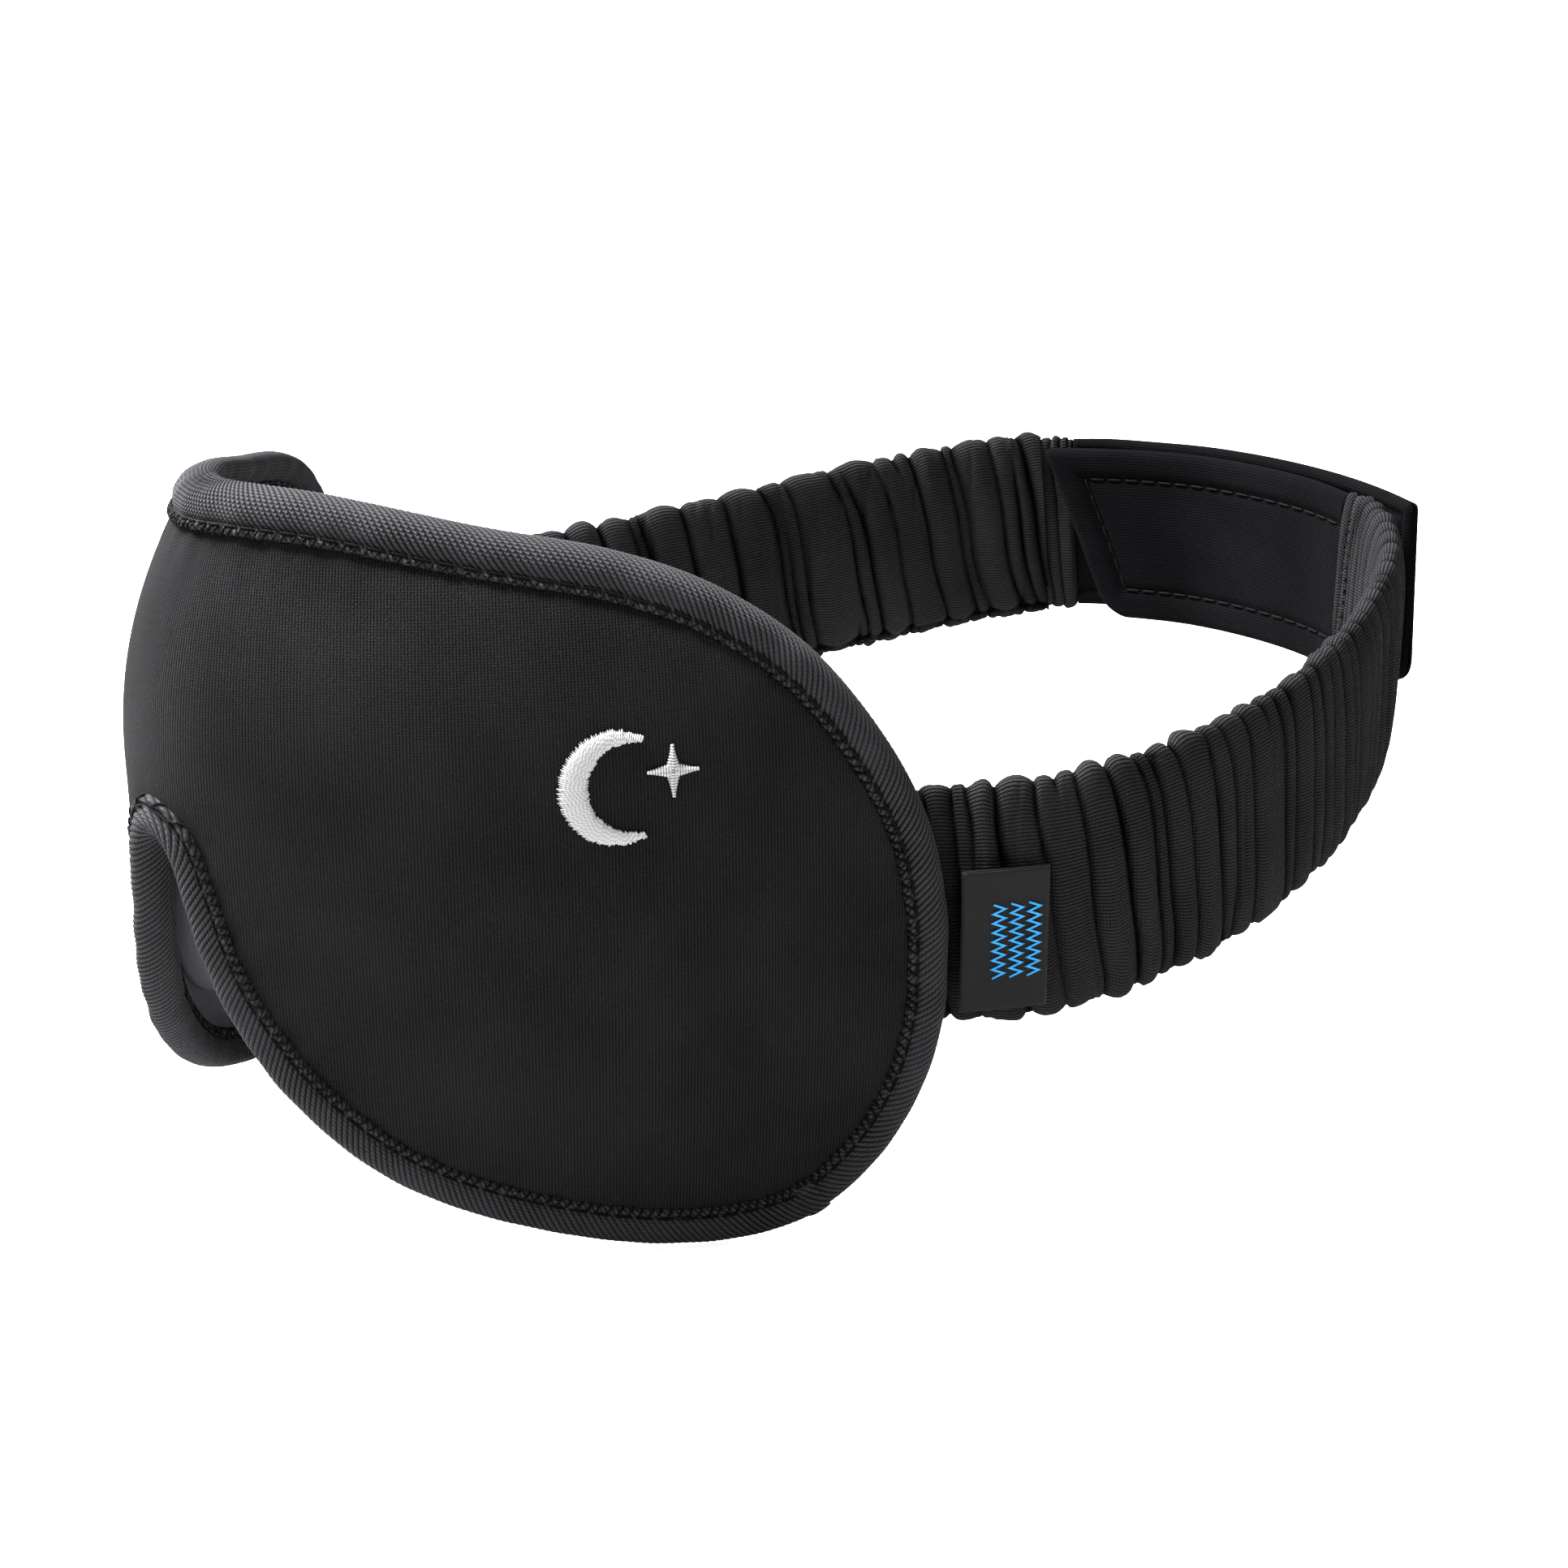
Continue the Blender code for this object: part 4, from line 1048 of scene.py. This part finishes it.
def hollow_sleeve(name, route, u, turn, height, body):
    """A tube of cloth with a wall: its outer skin, and back inside it."""
    outer = sleeve_skin(route, u, turn, height, body, 0.0)
    inner = sleeve_skin(route, u, turn, height, body, SLEEVE_WALL)
    rings = np.concatenate([outer, inner[:, ::-1]], axis=1)
    # The fold height stored on the points drives the painted shade in the sleeve's valleys.
    mark = np.clip(height / 1.6, 0, 1).T
    mark = np.concatenate([mark, mark[:, ::-1]], axis=1)
    cloth = measured(outer.swapaxes(0, 1)).swapaxes(0, 1)
    cloth = np.concatenate([cloth, cloth[:, ::-1], cloth[:, :1]], axis=1)
    piece = swept(name, rings, cloth, sleeve_knit, loop=True)
    marks = piece.data.attributes.new(FOLD_MARK, "FLOAT", "POINT")
    marks.data.foreach_set("value", mark.astype(np.float32).ravel())
    return piece, cloth[0, len(u) - 1, 0]


def gathered_sleeve(name, route, end, seed, lean, gaps):
    """The tube, flat where it is sewn at both ends and puffed between."""
    random = np.random.default_rng(seed)
    u = np.arange(0, end, 0.25)
    turn = np.linspace(0, math.tau, FOLD_POINTS, endpoint=False)
    height = sleeve_height(u, turn, end, random, lean, gaps)
    swell = (ease(u, -2, 14) * (1 - 0.5 * ease(u, end - 5, end)))[:, None]
    body = SLEEVE_THICK * (0.78 + 0.22 * swell)
    return hollow_sleeve(name, route, u, turn, height * (0.5 + 0.5 * swell), body)


def soft_strap(piece, route, end):
    """Bakes the piece's placement into its mesh."""
    tuple(route.where(4.0) * MM)
    tuple(route.where(end) * MM)
    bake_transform(piece)


def declare_sleeve(piece, run, node):
    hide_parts(node)
    print(f"{piece.name}: {run:.0f} mm of tube")


left_sleeve, left_run = gathered_sleeve("left_gathers", left_route, left_sleeve_end, 21, 1.2, PUFFS)
right_sleeve, right_run = gathered_sleeve("right_gathers", right_route, right_sleeve_end, 34, 2.6, PLEATS)
soft_strap(left_sleeve, left_route, left_sleeve_end)
soft_strap(right_sleeve, right_route, right_sleeve_end)
declare_sleeve(left_sleeve, left_run, "left_sleeve")
declare_sleeve(right_sleeve, right_run, "right_sleeve")

# %% [markdown]
# ## The elastic
#
# Inside each sleeve runs a flat woven elastic. It hardly shows, but it is what makes the gathers,
# so it is there: a flat strip with lengthwise cords, each a small ridge.

# %% Elastic bands
ELASTIC_HALF, ELASTIC_THICK, CORDS = 12.0, 0.5, 10


def elastic_band(name, route, end, node):
    u = np.linspace(1.0, end - 1.0, 120)
    across = np.linspace(-1, 1, 8 * CORDS + 1)
    ridge = ELASTIC_THICK * (0.75 + 0.25 * np.cos(math.tau * CORDS * across / 2))
    ring_across = np.concatenate([across, across[::-1]]) * ELASTIC_HALF
    ring_out = np.concatenate([ridge, -ridge[::-1]])
    rings = route.point(u[:, None], ring_across[None, :], ring_out[None, :])
    piece = swept(name, rings, measured(rings), elastic_weave)
    soft_strap(piece, route, end)
    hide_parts(node)


elastic_band("left_elastic_band", left_route, left_sleeve_end, "left_elastic")
elastic_band("right_elastic_band", right_route, right_sleeve_end, "right_elastic")

# %% [markdown]
# ## Hems, tabs and patches
#
# Behind the head each sleeve ends in a short hem and a flat tab, two layers of brushed cloth sewn
# together a few millimetres inside their edge. The stitch line presses a channel into the cloth,
# and the edge is round. A plate with a bevel would look moulded, so the tab is a grid whose
# thickness follows the distance from its own edge.

# %% Tab shape
HEM_LENGTH, TAB_HALF, TAB_THICK = 5.0, 15.2, 2.4


def tab_rings(route, start, end_low, end_high, half, thick, corner, columns, rows, channel, middle=0.0):
    """Rings across a tab with a slanted end, rounded at its lower corner and puffed by its seam."""
    row = np.sin(np.linspace(-math.pi / 2, math.pi / 2, rows))[None, :]
    column = np.sin(np.linspace(0, math.pi / 2, columns))[:, None]
    end = end_low + (end_high - end_low) * (row + 1) / 2
    from_low, from_high = (row + 1) * half, (1 - row) * half
    low_corner = corner * (1 - np.sqrt(np.maximum(0, 1 - np.maximum(0, 1 - from_low / corner) ** 2)))
    high_corner = 1.4 * (1 - np.sqrt(np.maximum(0, 1 - np.maximum(0, 1 - from_high / 1.4) ** 2)))
    u = start + (end - low_corner - high_corner - start) * column
    from_edge = np.minimum(np.minimum(from_low, from_high) + 0 * u, (end - low_corner - high_corner - u))
    rounded = np.sqrt(np.clip(1 - (1 - np.clip(from_edge / 1.6, 0, 1)) ** 2, 0.0, 1))
    pressed = np.exp(-(np.abs((from_edge - channel) / 0.9) ** 1.6))
    inner = ease(from_edge, channel, channel + 2)
    padded_edge = 1 + 0.1 * np.sin(math.pi * np.clip(from_edge / channel, 0, 1))
    half_thick = thick / 2 * (0.2 + 0.8 * rounded) * padded_edge * (1 - 0.6 * pressed) * (1 - 0.15 * inner)
    front = route.point(u, row * half, middle + half_thick)
    back = route.point(u, row * half, middle - half_thick)
    return np.concatenate([front, back[:, ::-1]], axis=1), u


def tab_piece(name, rings, material, body, node):
    piece = swept(name, rings, measured(rings), material)
    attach(piece, body)
    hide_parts(node)
    return piece


# %% The hems
left_hem_end = left_sleeve_end + 0.3 + HEM_LENGTH
right_hem_end = right_sleeve_end + 0.3 + HEM_LENGTH


def hem(name, route, start, body, node, seed):
    """The sleeve's end, rolled over and sewn down flat, still gathered."""
    random = np.random.default_rng(seed)
    u = np.linspace(start - 1.2, start + HEM_LENGTH + 0.35, 40)
    turn = np.linspace(0, math.tau, FOLD_POINTS, endpoint=False)
    ruffle = folds(u - u[0], turn, HEM_LENGTH + 2, random, 0.6, RUFFLES)
    share = np.linspace(0, 1, len(u))[:, None]
    rolled = 1 - np.abs(2 * share - 1) ** 6
    cos, sin = np.cos(turn)[None, :], np.sin(turn)[None, :]
    across = np.sign(cos) * np.abs(cos) ** 0.5 * (SLEEVE_HALF - 1.7 + 0.8 * ruffle - 1.2 * (1 - rolled))
    out = np.sign(sin) * np.abs(sin) ** 0.6 * (0.45 + 0.6 * rolled + 0.7 * ruffle * rolled)
    rings = route.point(u[:, None], across, out)
    piece = tab_piece(name, rings, sleeve_knit, body, node)
    # The ruffle's height stored on the points drives the painted shade in the hem's valleys.
    marks = piece.data.attributes.new(FOLD_MARK, "FLOAT", "POINT")
    marks.data.foreach_set("value", np.clip(ruffle / 1.2, 0, 1).astype(np.float32).ravel())


hem("left_hem", left_route, left_sleeve_end + 0.3, "inner_closure", "left_sleeve_hem", 41)
hem("right_hem", right_route, right_sleeve_end + 0.3, "right_tab_root", "right_sleeve_hem", 42)

# %% The two tabs
inner_start, outer_start = left_hem_end + 0.3, right_hem_end + 0.3
inner_end, outer_end = left_route.at_x(-27.0), right_route.at_x(46.0)
inner_rings, _ = tab_rings(
    left_route, inner_start, inner_end - 11, inner_end, TAB_HALF, TAB_THICK, 4.5, 120, 74, channel=5.3
)
outer_rings, _ = tab_rings(
    right_route, outer_start, outer_end, outer_end - 3, TAB_HALF, TAB_THICK, 4.5, 130, 74, channel=2.6
)
inner_tab = tab_piece("inner_tab_cloth", inner_rings, tab_velour, "inner_closure", "inner_tab")
outer_tab = tab_piece("outer_tab_cloth", outer_rings, tab_velour, "outer_closure", "outer_tab")

# %% Patches between the tabs
PATCH_HALF, PATCH_THICK = 11.0, 0.8
hook_start, hook_low, hook_high = inner_start + 18, inner_end - 13, inner_end - 6
hook_level = TAB_THICK / 2 + 0.3 + PATCH_THICK / 2
hook_rings, _ = tab_rings(
    left_route, hook_start, hook_low, hook_high, PATCH_HALF, 0.45, 3, 40, 24,
    channel=1.4, middle=hook_level - 0.15
)
hook_base = tab_piece("hook_base", hook_rings, hook_nylon, "inner_closure", "hook_patch")
loop_rings, _ = tab_rings(
    right_route, outer_start + 8, outer_end - 24, outer_end - 24, PATCH_HALF, PATCH_THICK, 3, 60, 36,
    channel=1.4,
    middle=-(TAB_THICK / 2 + 0.3 + PATCH_THICK / 2),
)  # fmt: skip
loop_patch = tab_piece("loop_pile_patch", loop_rings, loop_pile, "outer_closure", "loop_patch")

# %% Hooks: rows of small crooks
HOOK_PITCH = 1.25
hook_u = np.arange(hook_start + 1.5, hook_low - 1.5, HOOK_PITCH)
hook_w = np.arange(-PATCH_HALF + 1.3, PATCH_HALF - 1.2, HOOK_PITCH)
grid_u, grid_w = (g.ravel()[:, None] for g in np.meshgrid(hook_u, hook_w, indexing="ij"))
crook = smooth_line([(0, 0), (0.02, 0.28), (0.16, 0.42), (0.3, 0.34), (0.31, 0.22)], steps=2)
hook_out = hook_level + 0.02 + crook[None, :, 1] * 0.8
hook_paths = left_route.point(grid_u + crook[None, :, 0], grid_w + 0 * hook_out, hook_out + 0 * grid_u)
_, hook_side, _ = left_route.frame_at(grid_u + 0 * hook_out)
hooks = threads("hooks", hook_paths, hook_side, 0.07, hook_nylon, sides=4)
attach(hooks, "inner_closure")
print("hooks:", len(grid_u))

# %% [markdown]
# ## Seams on the strap
#
# Straight seams lie in the channels of the tabs; the roots and hems are held by a zigzag. Both
# are drawn as a line on the strap, and cut into single stitches.

# %% Straight and zigzag stitches on a route


def strap_stitches(name, route, corners_uw, out, body, node, length=2.4, gap=0.7):
    """Dashes along a line of (along, across) corners, this far out of the strap's middle."""
    line = np.array(corners_uw, float)
    total = run_of(line)[-1]
    count = round(total / (length + gap))
    starts = (np.arange(count) + 0.15) / count
    t = starts[:, None] + np.linspace(0, length / total, 7)
    flat = evenly(line, np.clip(t, 0, 1).ravel()).reshape(*t.shape, 2)
    dip = 0.06 * np.sin(math.pi * np.linspace(0, 1, 7)) * np.sign(out)
    paths = route.point(flat[..., 0], flat[..., 1], out + dip + 0 * t)
    up = route.point(flat[..., 0], flat[..., 1], out + np.sign(out) + 0 * t) - paths
    piece = threads(name, paths, up, 0.2, black_thread)
    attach(piece, body)
    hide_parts(node)


def zigzag(centre, reach, half, turns):
    across = np.linspace(-half, half, 2 * turns + 1)
    return [(centre + (reach if k % 2 else -reach), a) for k, a in enumerate(across)]


inner_seam = [
    (inner_start + 2, 9.9), (inner_end - 7.4, 9.9), (inner_end - 14.7, -9.9), (inner_start + 2, -9.9),
]  # fmt: skip
strap_stitches("inner_tab_stitches", left_route, inner_seam, -0.8, "inner_closure", "inner_tab_seam")
outer_seam = [
    (outer_start + 1, 12.6), (outer_end - 5.6, 12.6), (outer_end - 2.8, -9.6), (outer_end - 6.2, -12.6),
    (outer_start + 1, -12.6),
]  # fmt: skip
strap_stitches("outer_tab_stitches", right_route, outer_seam, 0.85, "outer_closure", "outer_tab_seam")
for side, route, hem_end, body, level in (
    ("left", left_route, left_hem_end, "inner_closure", -1.7),
    ("right", right_route, right_hem_end, "right_tab_root", 1.85),
):
    seam = zigzag(hem_end - HEM_LENGTH / 2, 0.9, 12.5, 12)
    strap_stitches(f"{side}_tuck_stitches", route, seam, level, body, f"{side}_tuck_seam", 1.5, 0.35)
    seam = zigzag(2.5, 1.2, 12.0, 12)
    root_node = f"{side}_root_stitching"
    strap_stitches(f"{side}_root_stitches", route, seam, -2.35, f"{side}_strap", root_node, 1.8, 0.4)

# %% [markdown]
# ## The side label
#
# A woven satin ribbon is folded in half and caught under the binding, so it stands out as a flap
# with its fold at the free end. It is a sweep of a U-shaped profile with a real thickness, and a
# pattern of rows in blue thread is laid on its front.

# %% The label and its woven pattern
LABEL_ROUTE = [(68.2, 1.8), (71.4, 7.5), (74.0, 12.2)]
LABEL_HALF, LABEL_Z = 9.8, -4.4
label_route = Route(LABEL_ROUTE, 1, rise=0.0, level=LABEL_Z)
reach = np.linspace(0, label_route.length - 0.4, 26)
fold = np.linspace(math.pi / 2, -math.pi / 2, 9)[1:-1]


def folded_side(depth):
    """One face of the folded ribbon's section, as (along, out), from the front layer to the back."""
    front = np.stack([reach, depth + 0.12 * np.sin(math.pi * reach / reach[-1])], axis=1)
    bend = np.stack([reach[-1] + depth * np.cos(fold), depth * np.sin(fold)], axis=1)
    back = np.stack([reach[::-1], -depth + 0 * reach], axis=1)
    return np.vstack([front, bend, back])


ribbon = np.vstack([folded_side(0.4), folded_side(0.2)[::-1]])
label_w = np.linspace(-LABEL_HALF, LABEL_HALF, 40)[:, None]
ribbon_u, ribbon_out = ribbon[None, :, 0], ribbon[None, :, 1]
label_rings = label_route.point(ribbon_u + 0 * label_w, label_w + 0 * ribbon_u, ribbon_out)
label = swept("satin_label", label_rings, measured(label_rings)[..., ::-1], label_satin)
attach(label, "label")
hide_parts("side_label")

motif_paths = []
for centre in (4.9, 7.3, 9.7):
    across = np.linspace(-5.2, 5.2, 17)
    peak = np.where(np.arange(17) % 2 == 0, -0.8, 0.8)
    motif_paths.append(label_route.point(centre + peak, across, 0.66 + 0 * across))
motif_paths = np.array(motif_paths)
motif_up = np.broadcast_to(label_route.frame_at(np.array(6.0))[2], motif_paths.shape)
motif = threads("woven_pattern", motif_paths, motif_up, 0.42, label_blue, flatten=0.3)
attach(motif, "label")
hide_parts("label_motif")
